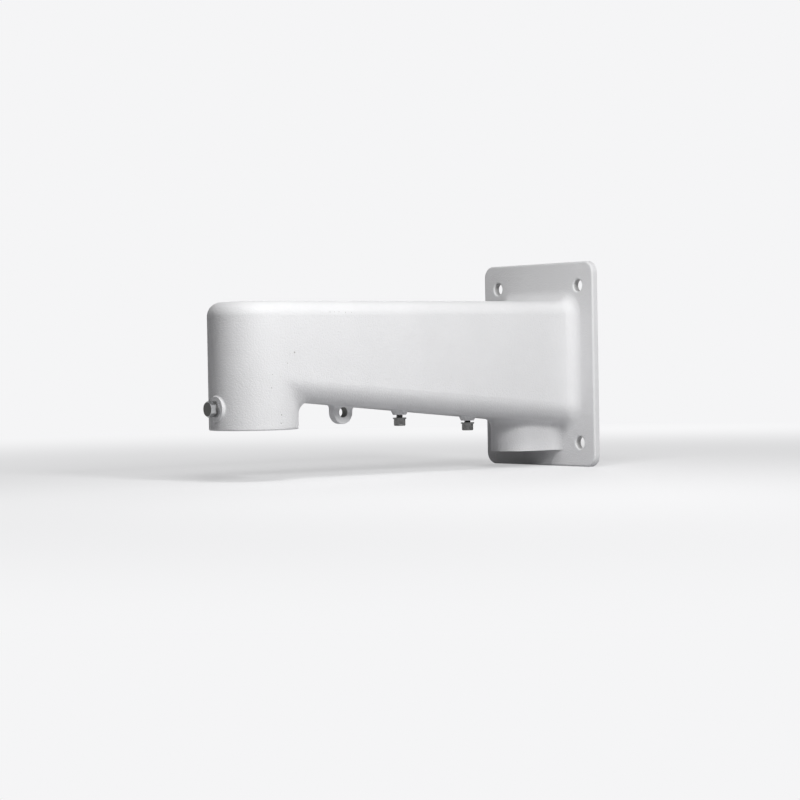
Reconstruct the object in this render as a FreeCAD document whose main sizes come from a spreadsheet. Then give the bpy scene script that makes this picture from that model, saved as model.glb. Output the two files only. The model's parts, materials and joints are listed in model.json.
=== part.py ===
# Wall arm for a dome camera: one hollow casting with its fasteners.
# Millimetres. The origin is the middle of the plate's back, on the wall. The wall is the plane y = 0,
# the arm runs out along -Y, and +Z is up.
import FreeCAD, Part
import math
import os

import Sketcher

V = FreeCAD.Vector

doc = FreeCAD.newDocument("camera_wall_arm")

# Driving dimensions
DIMENSIONS = [
    # Wall plate
    ("plate_width", 125, "across the plate"),
    ("plate_height", 155, "up the plate"),
    ("plate_thickness", 5, "plate, wall to front face"),
    ("plate_corner_radius", 9, "corners seen from the front"),
    ("plate_edge_round", 1.5, "front edge of the plate"),
    ("bolt_spacing_across", 92, "wall bolts, side to side"),
    ("bolt_spacing_up", 119, "wall bolts, bottom to top"),
    ("bolt_hole_diameter", 9, "clearance hole for a wall bolt"),
    ("bolt_hole_round", 1.5, "softened rim of each wall bolt hole"),
    # Arm
    ("head_reach", 272, "wall to the middle of the camera head"),
    ("head_radius", 31.5, "outside of the camera head"),
    ("head_length", 89.5, "top of the arm to the rim of the head"),
    ("head_rim_round", 1, "outer edge of the rim"),
    ("arm_top_height", 48, "flat top above the middle of the plate"),
    ("arm_width_at_plate", 82, "across the arm where it meets the plate"),
    ("arm_depth_at_head", 67.1, "top to underside, at the middle of the head"),
    ("arm_depth_at_plate", 92.3, "top to underside, at the plate"),
    ("arm_top_round", 10, "upper long edges"),
    ("arm_bottom_round", 14.5, "lower long edges"),
    ("side_stock", 0.05, "metal left beside the head for the neck's blend"),
    ("nose_stock", 10, "metal in front of the head before the nose is cut"),
    ("neck_fillet", 9, "between the underside and the back of the head"),
    ("root_fillet", 9, "between the arm and the plate"),
    # Hollow inside
    ("wall_thickness", 4.5, "casting wall of the arm"),
    ("pipe_bore_radius", 23.9, "root of the camera pipe thread"),
    ("pipe_bore_chamfer", 1.5, "lead-in of the camera pipe thread"),
    # Cable entry from below
    ("entry_radius", 20.5, "round front of the cable entry"),
    ("entry_reach", 27, "wall to the middle of the cable entry"),
    ("entry_rim_drop", 65.2, "rim of the entry below the middle of the plate"),
    ("entry_fillet", 7, "between the entry, the underside and the plate"),
    ("entry_bore_radius", 13.22, "root of the cable gland thread"),
    ("entry_bore_chamfer", 1, "lead-in of the cable gland thread"),
    # Ear for the safety rope
    ("ear_reach", 196, "wall to the middle of the ear"),
    ("ear_thickness", 6.5, "across the ear"),
    ("ear_radius", 8.4, "round end of the ear"),
    ("ear_hole_diameter", 7, "hole for the safety rope"),
    ("ear_hole_drop", 5.2, "hole below the underside"),
    ("ear_fillet", 3.4, "between the ear and the underside"),
    ("ear_edge_round", 0.6, "outer edges of the ear"),
    ("ear_hole_round", 0.6, "softened rims of the ear's hole"),
    # Screw bosses under the arm
    ("front_screw_reach", 142, "wall to the front cap screw"),
    ("rear_screw_reach", 77, "wall to the rear cap screw"),
    ("screw_boss_drop", 3.4, "face of a boss below the underside"),
    ("screw_boss_face_radius", 4.9, "face of a boss"),
    ("screw_boss_slope", 0.5, "radius gained for each millimetre up the boss"),
    ("screw_boss_inner_radius", 6, "boss inside the arm"),
    ("screw_boss_inner_height", 6, "boss inside the arm, above the floor"),
    ("screw_boss_fillet", 1, "between a boss and the underside"),
    # Cap screws and their washers
    ("cap_thread_diameter", 5, "thread of a cap screw"),
    ("cap_screw_length", 12, "cap screw under its head"),
    ("cap_head_diameter", 8.5, "head of a cap screw"),
    ("cap_head_height", 5, "head of a cap screw"),
    ("cap_head_round", 0.7, "free edge of the head"),
    ("cap_socket_width", 4, "hexagon socket, across flats"),
    ("cap_socket_depth", 2.5, "hexagon socket"),
    ("cap_washer_diameter", 10, "washer of a cap screw"),
    ("cap_washer_hole", 5.3, "washer of a cap screw"),
    ("cap_washer_thickness", 1, "washer of a cap screw"),
    ("front_screw_gap", 2.1, "boss to washer, front screw"),
    ("rear_screw_gap", 1.4, "boss to washer, rear screw"),
    ("thread_point_chamfer", 0.6, "end of every thread"),
    ("tapped_hole_depth", 10.5, "tapped hole of a cap screw"),
    ("thread_play", 0.1, "tapped hole over its thread, in diameter"),
    # Lock bolt through the front of the head
    ("lock_drop", 74.2, "top of the arm to the lock bolt"),
    ("lock_boss_reach", 32.2, "middle of the head to the face of the boss"),
    ("lock_boss_face_radius", 8.5, "face of the boss"),
    ("lock_boss_slope", 0.55, "radius gained for each millimetre toward the head"),
    ("lock_boss_fillet", 1.5, "between the boss and the head"),
    ("lock_thread_diameter", 6, "thread of the lock bolt"),
    ("lock_bolt_length", 10, "lock bolt under its head"),
    ("hex_width", 10, "head of the lock bolt, across flats"),
    ("hex_height", 4, "head of the lock bolt"),
    ("hex_crown_share", 0.95, "round free face of that head, as a share of its flats"),
    ("hex_crown_angle", 30, "slope of the corners toward the free face, in degrees"),
    ("flat_washer_diameter", 12, "flat washer of the lock bolt"),
    ("flat_washer_thickness", 1.2, "flat washer of the lock bolt"),
    ("spring_washer_diameter", 11.2, "spring washer of the lock bolt"),
    ("spring_washer_thickness", 1.6, "spring washer of the lock bolt"),
    ("washer_hole_diameter", 6.4, "both washers of the lock bolt"),
    ("spring_washer_slit", 0.8, "slit of the spring washer"),
]

sheet = doc.addObject("Spreadsheet::Sheet", "sizes")
for row, (alias, value, note) in enumerate(DIMENSIONS, start=1):
    sheet.set(f"A{row}", alias.replace("_", " "))
    sheet.set(f"B{row}", str(value))
    sheet.setAlias(f"B{row}", alias)
    sheet.set(f"C{row}", note)
doc.recompute()

# Expressions that several features share
POINT_CHAMFER = "sizes.thread_point_chamfer"
UNDERSIDE_SLOPE = (
    "((sizes.arm_depth_at_plate - sizes.arm_depth_at_head)"
    " / (sizes.head_reach - sizes.plate_thickness))"
)
SIDE_SLOPE = (
    "((sizes.arm_width_at_plate / 2 - sizes.head_radius)"
    " / (sizes.head_reach - sizes.plate_thickness))"
)
SIDE_ANGLE = f"atan({SIDE_SLOPE})"
HEAD_RIM = "(sizes.arm_top_height - sizes.head_length)"
LOCK_HEIGHT = "(sizes.arm_top_height - sizes.lock_drop)"
NOSE_START = "(sizes.head_reach + sizes.head_radius + sizes.nose_stock)"
NOSE_CUT_FRONT = f"({NOSE_START} + sizes.nose_stock)"
NOSE_HOLLOW_RADIUS = "(sizes.head_radius + sizes.side_stock - sizes.wall_thickness)"
LOCK_FACE = "(sizes.head_reach + sizes.lock_boss_reach)"
LOCK_INSIDE = "(sizes.head_reach + sizes.head_radius - sizes.wall_thickness)"
LOCK_BOSS_ROOT = (
    "(sizes.lock_boss_face_radius"
    f" + sizes.lock_boss_slope * ({LOCK_FACE} - {LOCK_INSIDE}))"
)


def underside(distance):
    """Height of the arm's underside at a distance from the wall."""
    return (
        "(sizes.arm_top_height - sizes.arm_depth_at_head"
        f" - {UNDERSIDE_SLOPE} * (sizes.head_reach - {distance}))"
    )


def half_width(distance):
    """Half the arm's width at a distance from the wall, before the sides are trimmed."""
    return (
        f"(sizes.arm_width_at_plate / 2 - ({SIDE_SLOPE}"
        " - sizes.side_stock / (sizes.head_reach - sizes.plate_thickness))"
        f" * ({distance} - sizes.plate_thickness))"
    )


def evaluate(expression):
    """Value of an expression of the sheet, in millimetres or degrees."""
    result = sheet.evalExpression(expression.replace("sizes.", ""))
    return float(getattr(result, "Value", result))


EAR_HOLE_HEIGHT = f"({underside('sizes.ear_reach')} - sizes.ear_hole_drop)"
EAR_TOP = f"({underside('sizes.ear_reach')} + sizes.wall_thickness / 2)"


# Sketches
def plane_of(body, role):
    """Origin plane of a body."""
    for feature in body.Origin.OriginFeatures:
        if feature.Role == role:
            return feature
    raise ValueError(role)


def new_sketch(body, name, role, offset="0"):
    """Empty sketch on an origin plane, moved along the plane's normal."""
    sketch = body.newObject("Sketcher::SketchObject", name)
    sketch.AttachmentSupport = [(plane_of(body, role), "")]
    sketch.MapMode = "FlatFace"
    sketch.setExpression("AttachmentOffset.Base.z", offset)
    sketch.Visibility = False
    return sketch


def bind(sketch, kind, references, expression):
    """Dimension whose value is an expression of the sheet."""
    start = evaluate(expression)
    index = sketch.addConstraint(Sketcher.Constraint(kind, *references, start))
    sketch.setExpression(f"Constraints[{index}]", expression)


def tie(sketch, kind, *references):
    """Constraint with no size."""
    sketch.addConstraint(Sketcher.Constraint(kind, *references))


def draw_polygon(sketch, points):
    """Closed outline with square corners, each corner placed by two expressions.

    An expression of None leaves that coordinate on the axis.
    """
    values = [[0.0 if text is None else evaluate(text) for text in point] for point in points]
    count = len(points)
    for index, (x, y) in enumerate(values):
        after = values[(index + 1) % count]
        sketch.addGeometry(Part.LineSegment(V(x, y, 0), V(after[0], after[1], 0)), False)
    for index in range(count):
        tie(sketch, "Coincident", index, 2, (index + 1) % count, 1)
    for index, (along, up) in enumerate(points):
        if along is None:
            tie(sketch, "PointOnObject", index, 1, -2)
        else:
            place_coordinate(sketch, "DistanceX", index, along)
        if up is None:
            tie(sketch, "PointOnObject", index, 1, -1)
        else:
            place_coordinate(sketch, "DistanceY", index, up)


def place_coordinate(sketch, kind, index, expression):
    """Distance of a line's start from an axis, on either side of it."""
    if evaluate(expression) >= 0:
        bind(sketch, kind, (-1, 1, index, 1), expression)
    else:
        bind(sketch, kind, (index, 1, -1, 1), f"-({expression})")


def draw_circle(sketch, along, up, radius):
    """Circle with its middle placed by two expressions."""
    x = evaluate(along) if along else 0.0
    y = evaluate(up) if up else 0.0
    index = sketch.addGeometry(Part.Circle(V(x, y, 0), V(0, 0, 1), evaluate(radius)), False)
    bind(sketch, "Radius", (index,), radius)
    for axis, kind, value, text in ((-2, "DistanceX", x, along), (-1, "DistanceY", y, up)):
        if not text:
            tie(sketch, "PointOnObject", index, 3, axis)
        elif value >= 0:
            bind(sketch, kind, (-1, 1, index, 3), text)
        else:
            bind(sketch, kind, (index, 3, -1, 1), f"-({text})")


def draw_hexagon(sketch, across_flats):
    """Hexagon about the origin with one corner straight up."""
    radius = f"{across_flats} / sqrt(3)"
    size = evaluate(radius)
    turns = [math.radians(90 + 60 * step) for step in range(6)]
    corners = [V(size * math.cos(angle), size * math.sin(angle), 0) for angle in turns]
    for index in range(6):
        sketch.addGeometry(Part.LineSegment(corners[index], corners[(index + 1) % 6]), False)
    ring = sketch.addGeometry(Part.Circle(V(0, 0, 0), V(0, 0, 1), size), True)
    tie(sketch, "Coincident", ring, 3, -1, 1)
    for index in range(6):
        tie(sketch, "Coincident", index, 2, (index + 1) % 6, 1)
        tie(sketch, "PointOnObject", index, 1, ring)
    for index in range(1, 6):
        tie(sketch, "Equal", 0, index)
    tie(sketch, "PointOnObject", 0, 1, -2)
    bind(sketch, "Radius", (ring,), radius)


def add_arc(sketch, middle, radius, start, end):
    """Arc by its middle, radius and two angles in degrees, anticlockwise."""
    circle = Part.Circle(V(middle[0], middle[1], 0), V(0, 0, 1), radius)
    arc = Part.ArcOfCircle(circle, math.radians(start), math.radians(end))
    return sketch.addGeometry(arc, False)


def draw_arm_section(sketch, half, top, bottom, radius):
    """Arm section: square upper corners, round lower corners."""
    w, t, b, r = (evaluate(text) for text in (half, top, bottom, radius))
    line = Part.LineSegment
    sketch.addGeometry(line(V(-w, t, 0), V(w, t, 0)), False)
    sketch.addGeometry(line(V(w, t, 0), V(w, b + r, 0)), False)
    add_arc(sketch, (w - r, b + r), r, 270, 360)
    sketch.addGeometry(line(V(w - r, b, 0), V(r - w, b, 0)), False)
    add_arc(sketch, (r - w, b + r), r, 180, 270)
    sketch.addGeometry(line(V(-w, b + r, 0), V(-w, t, 0)), False)
    tie(sketch, "Coincident", 0, 2, 1, 1)
    tie(sketch, "Tangent", 1, 2, 2, 2)
    tie(sketch, "Tangent", 2, 1, 3, 1)
    tie(sketch, "Tangent", 3, 2, 4, 2)
    tie(sketch, "Tangent", 4, 1, 5, 1)
    tie(sketch, "Coincident", 5, 2, 0, 1)
    tie(sketch, "Vertical", 1)
    tie(sketch, "Vertical", 5)
    tie(sketch, "Horizontal", 3)
    tie(sketch, "Equal", 2, 4)
    tie(sketch, "Symmetric", 0, 1, 0, 2, -2)
    bind(sketch, "DistanceX", (0, 1, 0, 2), f"2 * {half}")
    bind(sketch, "DistanceY", (-1, 1, 0, 1), top)
    bind(sketch, "DistanceY", (3, 1, -1, 1), f"-({bottom})")
    bind(sketch, "Radius", (2,), radius)


def draw_round_rectangle(sketch, half, top, bottom, top_radius, bottom_radius):
    """Rectangle with four round corners, even about the vertical axis."""
    texts = (half, top, bottom, top_radius, bottom_radius)
    w, t, b, rt, rb = (evaluate(text) for text in texts)
    line = Part.LineSegment
    sketch.addGeometry(line(V(rt - w, t, 0), V(w - rt, t, 0)), False)
    add_arc(sketch, (w - rt, t - rt), rt, 0, 90)
    sketch.addGeometry(line(V(w, t - rt, 0), V(w, b + rb, 0)), False)
    add_arc(sketch, (w - rb, b + rb), rb, 270, 360)
    sketch.addGeometry(line(V(w - rb, b, 0), V(rb - w, b, 0)), False)
    add_arc(sketch, (rb - w, b + rb), rb, 180, 270)
    sketch.addGeometry(line(V(-w, b + rb, 0), V(-w, t - rt, 0)), False)
    add_arc(sketch, (rt - w, t - rt), rt, 90, 180)
    tie(sketch, "Tangent", 0, 2, 1, 2)
    tie(sketch, "Tangent", 1, 1, 2, 1)
    tie(sketch, "Tangent", 2, 2, 3, 2)
    tie(sketch, "Tangent", 3, 1, 4, 1)
    tie(sketch, "Tangent", 4, 2, 5, 2)
    tie(sketch, "Tangent", 5, 1, 6, 1)
    tie(sketch, "Tangent", 6, 2, 7, 2)
    tie(sketch, "Tangent", 7, 1, 0, 1)
    tie(sketch, "Horizontal", 0)
    tie(sketch, "Vertical", 2)
    tie(sketch, "Equal", 1, 7)
    tie(sketch, "Equal", 3, 5)
    tie(sketch, "Symmetric", 2, 1, 6, 2, -2)
    bind(sketch, "DistanceX", (6, 2, 2, 1), f"2 * {half}")
    bind(sketch, "DistanceY", (-1, 1, 0, 1), top)
    bind(sketch, "DistanceY", (4, 1, -1, 1), f"-({bottom})")
    bind(sketch, "Radius", (1,), top_radius)
    bind(sketch, "Radius", (3,), bottom_radius)


# Margin of the tests that pick edges by their place
MARGIN = 0.02
SHORTEST_EDGE = 0.01


# Features
def new_body(label):
    """Body of one real piece."""
    body = doc.addObject("PartDesign::Body", label)
    body.Label = label
    return body


def extrude(body, kind, name, sketch, length, reverse=False, midplane=False):
    """Pad or Pocket along a sketch's normal."""
    feature = body.newObject(kind, name)
    feature.Profile = sketch
    feature.setExpression("Length", length)
    feature.Reversed = reverse
    feature.Midplane = midplane
    doc.recompute()
    return feature


def turn(body, kind, name, sketch, axis):
    """Revolution or Groove of a full turn."""
    feature = body.newObject(kind, name)
    feature.Profile = sketch
    feature.ReferenceAxis = axis
    feature.Angle = 360
    doc.recompute()
    return feature


def loft(body, kind, name, sections):
    """Straight loft through sketches."""
    feature = body.newObject(kind, name)
    feature.Profile = sections[0]
    feature.Sections = sections[1:]
    feature.Ruled = True
    doc.recompute()
    return feature


def points_of(edge, shares=(0.05, 0.35, 0.65, 0.95)):
    """Points spread along an edge."""
    span = edge.LastParameter - edge.FirstParameter
    return [edge.valueAt(edge.FirstParameter + span * share) for share in shares]


def edges_where(feature, test):
    """Names of a feature's edges whose points pass a test."""
    names = []
    for index, edge in enumerate(feature.Shape.Edges, start=1):
        if edge.Length > SHORTEST_EDGE and test(points_of(edge)):
            names.append(f"Edge{index}")
    return names


def fillet(body, name, base, test, radius):
    """Fillet on the edges of a feature whose points pass a test."""
    feature = body.newObject("PartDesign::Fillet", name)
    feature.Base = (base, edges_where(base, test))
    feature.setExpression("Radius", radius)
    doc.recompute()
    return feature


def near(first, second, margin=MARGIN):
    return abs(first - second) < margin


def level(points, height, margin=MARGIN):
    """Whether all points lie at one height."""
    return all(near(point.z, height, margin) for point in points)


def on_upright(points, reach, radius):
    """Whether all points lie on an upright cylinder in the plane of symmetry."""
    return all(near(math.hypot(point.x, point.y + reach), radius) for point in points)


# The casting
def build_casting():
    """Arm, head, plate and cable entry, then the small bosses, then the hollow inside."""
    body = new_body("bracket_casting")
    add_arm_and_head(body)
    add_plate(body)
    add_cable_entry(body)
    add_ear(body)
    add_lock_boss(body)
    cut_hollow(body)
    add_screw_bosses(body)
    cut_wall_bolt_holes(body)
    return body


def add_arm_and_head(body):
    reach = evaluate("sizes.head_reach")
    radius = evaluate("sizes.head_radius")
    top = evaluate("sizes.arm_top_height")
    rim = evaluate(HEAD_RIM)

    # Solid arm, from in front of the nose to the plate
    sections = []
    for name, distance in (("nose", NOSE_START), ("root", "sizes.plate_thickness")):
        sketch = new_sketch(body, f"arm_{name}_section", "XZ_Plane", distance)
        draw_arm_section(
            sketch,
            half_width(distance),
            "sizes.arm_top_height",
            underside(distance),
            "sizes.arm_bottom_round",
        )
        sections.append(sketch)
    loft(body, "PartDesign::AdditiveLoft", "arm", sections)

    # Round head that hangs below the arm, and its blend into the underside
    sketch = new_sketch(body, "head_outline", "XY_Plane", HEAD_RIM)
    draw_circle(sketch, None, "-sizes.head_reach", "sizes.head_radius")
    height = "sizes.head_length / 2 + sizes.arm_top_round"
    head = extrude(body, "PartDesign::Pad", "head", sketch, height)

    def under_arm(points):
        return on_upright(points, reach, radius) and not level(points, rim)

    def on_head_rim(points):
        return level(points, rim)

    neck = fillet(body, "neck_blend", head, under_arm, "sizes.neck_fillet")
    fillet(body, "head_rim_round", neck, on_head_rim, "sizes.head_rim_round")

    # Rounded nose and tapering sides, seen from above
    sketch = new_sketch(body, "nose_cut_outline", "XY_Plane")
    draw_nose_cut(sketch)
    length = "4 * sizes.head_length"
    nose = extrude(body, "PartDesign::Pocket", "nose_cut", sketch, length, midplane=True)

    def on_shoulder(points):
        return level(points, top) and not across_arm(points)

    fillet(body, "top_round", nose, on_shoulder, "sizes.arm_top_round")


def across_arm(points):
    """Whether an edge runs straight across the arm."""
    return all(near(point.y, points[0].y) for point in points)


def draw_nose_cut(sketch):
    """Metal outside the plan of the arm: a round nose, then straight sides out to the plate."""
    reach = evaluate("sizes.head_reach")
    radius = evaluate("sizes.head_radius")
    lean = evaluate(SIDE_ANGLE)
    root = evaluate("sizes.arm_width_at_plate / 2")
    face = -evaluate("sizes.plate_thickness")
    side = evaluate("sizes.plate_width")
    front = -evaluate(NOSE_CUT_FRONT)
    turn_x = radius * math.cos(math.radians(lean))
    turn_y = -reach - radius * math.sin(math.radians(lean))
    corners = [
        (turn_x, turn_y),
        (root, face),
        (side, face),
        (side, front),
        (-side, front),
        (-side, face),
        (-root, face),
        (-turn_x, turn_y),
    ]
    for start, end in zip(corners, corners[1:]):
        sketch.addGeometry(Part.LineSegment(V(*start, 0), V(*end, 0)), False)
    nose = add_arc(sketch, (0, -reach), radius, 180 + lean, 360 - lean)
    for index in range(6):
        tie(sketch, "Coincident", index, 2, index + 1, 1)
    tie(sketch, "Tangent", 6, 2, nose, 1)
    tie(sketch, "Tangent", nose, 2, 0, 1)
    tie(sketch, "PointOnObject", nose, 3, -2)
    for index in (1, 3):
        tie(sketch, "Horizontal", index)
    for index in (2, 4):
        tie(sketch, "Vertical", index)
    tie(sketch, "Symmetric", 0, 2, 5, 2, -2)
    tie(sketch, "Symmetric", 2, 1, 4, 2, -2)
    bind(sketch, "Radius", (nose,), "sizes.head_radius")
    bind(sketch, "DistanceY", (nose, 3, -1, 1), "sizes.head_reach")
    bind(sketch, "DistanceX", (5, 2, 0, 2), "sizes.arm_width_at_plate")
    bind(sketch, "DistanceY", (0, 2, -1, 1), "sizes.plate_thickness")
    bind(sketch, "DistanceX", (4, 2, 2, 1), "2 * sizes.plate_width")
    bind(sketch, "DistanceY", (3, 1, -1, 1), NOSE_CUT_FRONT)


def add_plate(body):
    face = -evaluate("sizes.plate_thickness")
    half_across = evaluate("sizes.plate_width / 2")
    half_up = evaluate("sizes.plate_height / 2")
    corner = evaluate("sizes.plate_corner_radius")
    sketch = new_sketch(body, "plate_outline", "XZ_Plane")
    draw_round_rectangle(
        sketch,
        "sizes.plate_width / 2",
        "sizes.plate_height / 2",
        "-sizes.plate_height / 2",
        "sizes.plate_corner_radius",
        "sizes.plate_corner_radius",
    )
    plate = extrude(body, "PartDesign::Pad", "plate", sketch, "sizes.plate_thickness")

    def on_face(points):
        return all(near(point.y, face) for point in points)

    def at_border(points):
        return any(
            abs(point.x) > half_across - corner / 2 or abs(point.z) > half_up - corner / 2
            for point in points
        )

    def round_arm(points):
        return on_face(points) and not at_border(points)

    def round_plate(points):
        return on_face(points) and at_border(points)

    root = fillet(body, "root_blend", plate, round_arm, "sizes.root_fillet")
    fillet(body, "plate_edge_round", root, round_plate, "sizes.plate_edge_round")


def add_cable_entry(body):
    """Round-fronted boss under the arm, against the plate, with its mouth facing down."""
    reach = evaluate("sizes.entry_reach")
    radius = evaluate("sizes.entry_radius")
    rim = -evaluate("sizes.entry_rim_drop")
    face = -evaluate("sizes.plate_thickness")
    sketch = new_sketch(body, "entry_outline", "XY_Plane", "-sizes.entry_rim_drop")
    draw_entry_outline(sketch)
    entry = extrude(body, "PartDesign::Pad", "cable_entry", sketch, "sizes.entry_rim_drop / 2")

    def on_wall(point):
        if point.y < -reach:
            return near(math.hypot(point.x, point.y + reach), radius)
        return near(abs(point.x), radius) and point.y < face + MARGIN

    def round_entry(points):
        seam = all(near(point.y, -reach) for point in points)
        return all(on_wall(point) for point in points) and not seam and not level(points, rim)

    fillet(body, "entry_blend", entry, round_entry, "sizes.entry_fillet")


def draw_entry_outline(sketch):
    """Half round in front, straight flanks into the plate."""
    reach = evaluate("sizes.entry_reach")
    radius = evaluate("sizes.entry_radius")
    inside = -evaluate("sizes.plate_thickness") / 2
    line = Part.LineSegment
    front = add_arc(sketch, (0, -reach), radius, 180, 360)
    sketch.addGeometry(line(V(radius, -reach, 0), V(radius, inside, 0)), False)
    sketch.addGeometry(line(V(radius, inside, 0), V(-radius, inside, 0)), False)
    sketch.addGeometry(line(V(-radius, inside, 0), V(-radius, -reach, 0)), False)
    tie(sketch, "Tangent", front, 2, 1, 1)
    tie(sketch, "Coincident", 1, 2, 2, 1)
    tie(sketch, "Coincident", 2, 2, 3, 1)
    tie(sketch, "Tangent", 3, 2, front, 1)
    tie(sketch, "PointOnObject", front, 3, -2)
    tie(sketch, "Vertical", 1)
    tie(sketch, "Horizontal", 2)
    bind(sketch, "Radius", (front,), "sizes.entry_radius")
    bind(sketch, "DistanceY", (front, 3, -1, 1), "sizes.entry_reach")
    bind(sketch, "DistanceY", (2, 1, -1, 1), "sizes.plate_thickness / 2")


def add_ear(body):
    """Flat round-ended ear under the arm for the safety rope."""
    reach = evaluate("sizes.ear_reach")
    radius = evaluate("sizes.ear_radius")
    half = evaluate("sizes.ear_thickness") / 2
    hole_height = evaluate(EAR_HOLE_HEIGHT)
    sketch = new_sketch(body, "ear_outline", "YZ_Plane")
    draw_ear(sketch)
    ear = extrude(body, "PartDesign::Pad", "ear", sketch, "sizes.ear_thickness", midplane=True)

    def face_outline(points):
        return all(
            near(abs(point.x), half)
            and (near(abs(point.y + reach), radius) or point.z < hole_height + MARGIN)
            for point in points
        )

    rounded = fillet(body, "ear_edge_round", ear, face_outline, "sizes.ear_edge_round")
    slope = evaluate(UNDERSIDE_SLOPE)
    floor = evaluate(underside("sizes.ear_reach"))

    def round_root(points):
        return all(
            near(point.z, floor - slope * (point.y + reach))
            and abs(point.x) < half + MARGIN
            and abs(point.y + reach) < radius + MARGIN
            for point in points
        )

    fillet(body, "ear_blend", rounded, round_root, "sizes.ear_fillet")
    sketch = new_sketch(body, "ear_hole_outline", "YZ_Plane")
    draw_circle(sketch, "-sizes.ear_reach", EAR_HOLE_HEIGHT, "sizes.ear_hole_diameter / 2")
    length = "2 * sizes.ear_thickness"
    hole = extrude(body, "PartDesign::Pocket", "ear_hole", sketch, length, midplane=True)
    hole_radius = evaluate("sizes.ear_hole_diameter / 2")

    def on_ear_hole_rim(points):
        return all(
            near(abs(point.x), half)
            and near(math.hypot(point.y + reach, point.z - hole_height), hole_radius)
            for point in points
        )

    fillet(body, "ear_hole_round", hole, on_ear_hole_rim, "sizes.ear_hole_round")


def draw_ear(sketch):
    """Straight sides down from inside the arm's floor to a half-round end."""
    reach = evaluate("sizes.ear_reach")
    radius = evaluate("sizes.ear_radius")
    height = evaluate(EAR_HOLE_HEIGHT)
    top = evaluate(EAR_TOP)
    line = Part.LineSegment
    end = add_arc(sketch, (-reach, height), radius, 180, 360)
    sketch.addGeometry(line(V(radius - reach, height, 0), V(radius - reach, top, 0)), False)
    sketch.addGeometry(line(V(radius - reach, top, 0), V(-radius - reach, top, 0)), False)
    sketch.addGeometry(line(V(-radius - reach, top, 0), V(-radius - reach, height, 0)), False)
    tie(sketch, "Tangent", end, 2, 1, 1)
    tie(sketch, "Coincident", 1, 2, 2, 1)
    tie(sketch, "Coincident", 2, 2, 3, 1)
    tie(sketch, "Tangent", 3, 2, end, 1)
    tie(sketch, "Vertical", 1)
    tie(sketch, "Horizontal", 2)
    bind(sketch, "Radius", (end,), "sizes.ear_radius")
    bind(sketch, "DistanceX", (end, 3, -1, 1), "sizes.ear_reach")
    bind(sketch, "DistanceY", (end, 3, -1, 1), f"-({EAR_HOLE_HEIGHT})")
    bind(sketch, "DistanceY", (2, 1, -1, 1), f"-({EAR_TOP})")


def add_lock_boss(body):
    """Cone on the front of the head that the lock bolt screws through."""
    reach = evaluate("sizes.head_reach")
    radius = evaluate("sizes.head_radius")
    height = evaluate(LOCK_HEIGHT)
    limit = evaluate(LOCK_BOSS_ROOT)
    sketch = new_sketch(body, "lock_boss_outline", "YZ_Plane")
    draw_polygon(
        sketch,
        [
            (f"-({LOCK_FACE})", LOCK_HEIGHT),
            (f"-({LOCK_FACE})", f"{LOCK_HEIGHT} + sizes.lock_boss_face_radius"),
            (f"-({LOCK_INSIDE})", f"{LOCK_HEIGHT} + {LOCK_BOSS_ROOT}"),
            (f"-({LOCK_INSIDE})", LOCK_HEIGHT),
        ],
    )
    boss = turn(body, "PartDesign::Revolution", "lock_boss", sketch, (sketch, ["Edge4"]))

    def round_boss(points):
        close = all(math.hypot(point.x, point.z - height) < limit for point in points)
        return close and on_upright(points, reach, radius)

    fillet(body, "lock_boss_blend", boss, round_boss, "sizes.lock_boss_fillet")


def cut_hollow(body):
    """Cable passage from the wall to the head, the pipe thread and the cable entry's bore."""
    sections = []
    for name, distance in (("head", "sizes.head_reach"), ("wall", "0")):
        sketch = new_sketch(body, f"passage_{name}_section", "XZ_Plane", distance)
        draw_round_rectangle(
            sketch,
            f"({half_width(distance)} - sizes.wall_thickness)",
            "sizes.arm_top_height - sizes.wall_thickness",
            f"{underside(distance)} + sizes.wall_thickness",
            "sizes.arm_top_round - sizes.wall_thickness",
            "sizes.arm_bottom_round - sizes.wall_thickness",
        )
        sections.append(sketch)
    loft(body, "PartDesign::SubtractiveLoft", "passage", sections)

    sketch = new_sketch(body, "nose_hollow_outline", "YZ_Plane")
    draw_nose_hollow(sketch)
    turn(body, "PartDesign::Groove", "nose_hollow", sketch, (sketch, ["Edge6"]))

    cut_threaded_bore(body, "pipe_bore", "sizes.head_reach", HEAD_RIM, "sizes.head_length / 2")
    cut_threaded_bore(
        body, "entry_bore", "sizes.entry_reach", "-sizes.entry_rim_drop", "sizes.entry_rim_drop / 2"
    )
    sketch = new_sketch(body, "lock_hole_outline", "XZ_Plane", "sizes.head_reach")
    hole_radius = "(sizes.lock_thread_diameter + sizes.thread_play) / 2"
    draw_circle(sketch, None, LOCK_HEIGHT, hole_radius)
    length = "sizes.head_radius + sizes.lock_boss_reach"
    extrude(body, "PartDesign::Pocket", "lock_hole", sketch, length, reverse=True)


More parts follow.
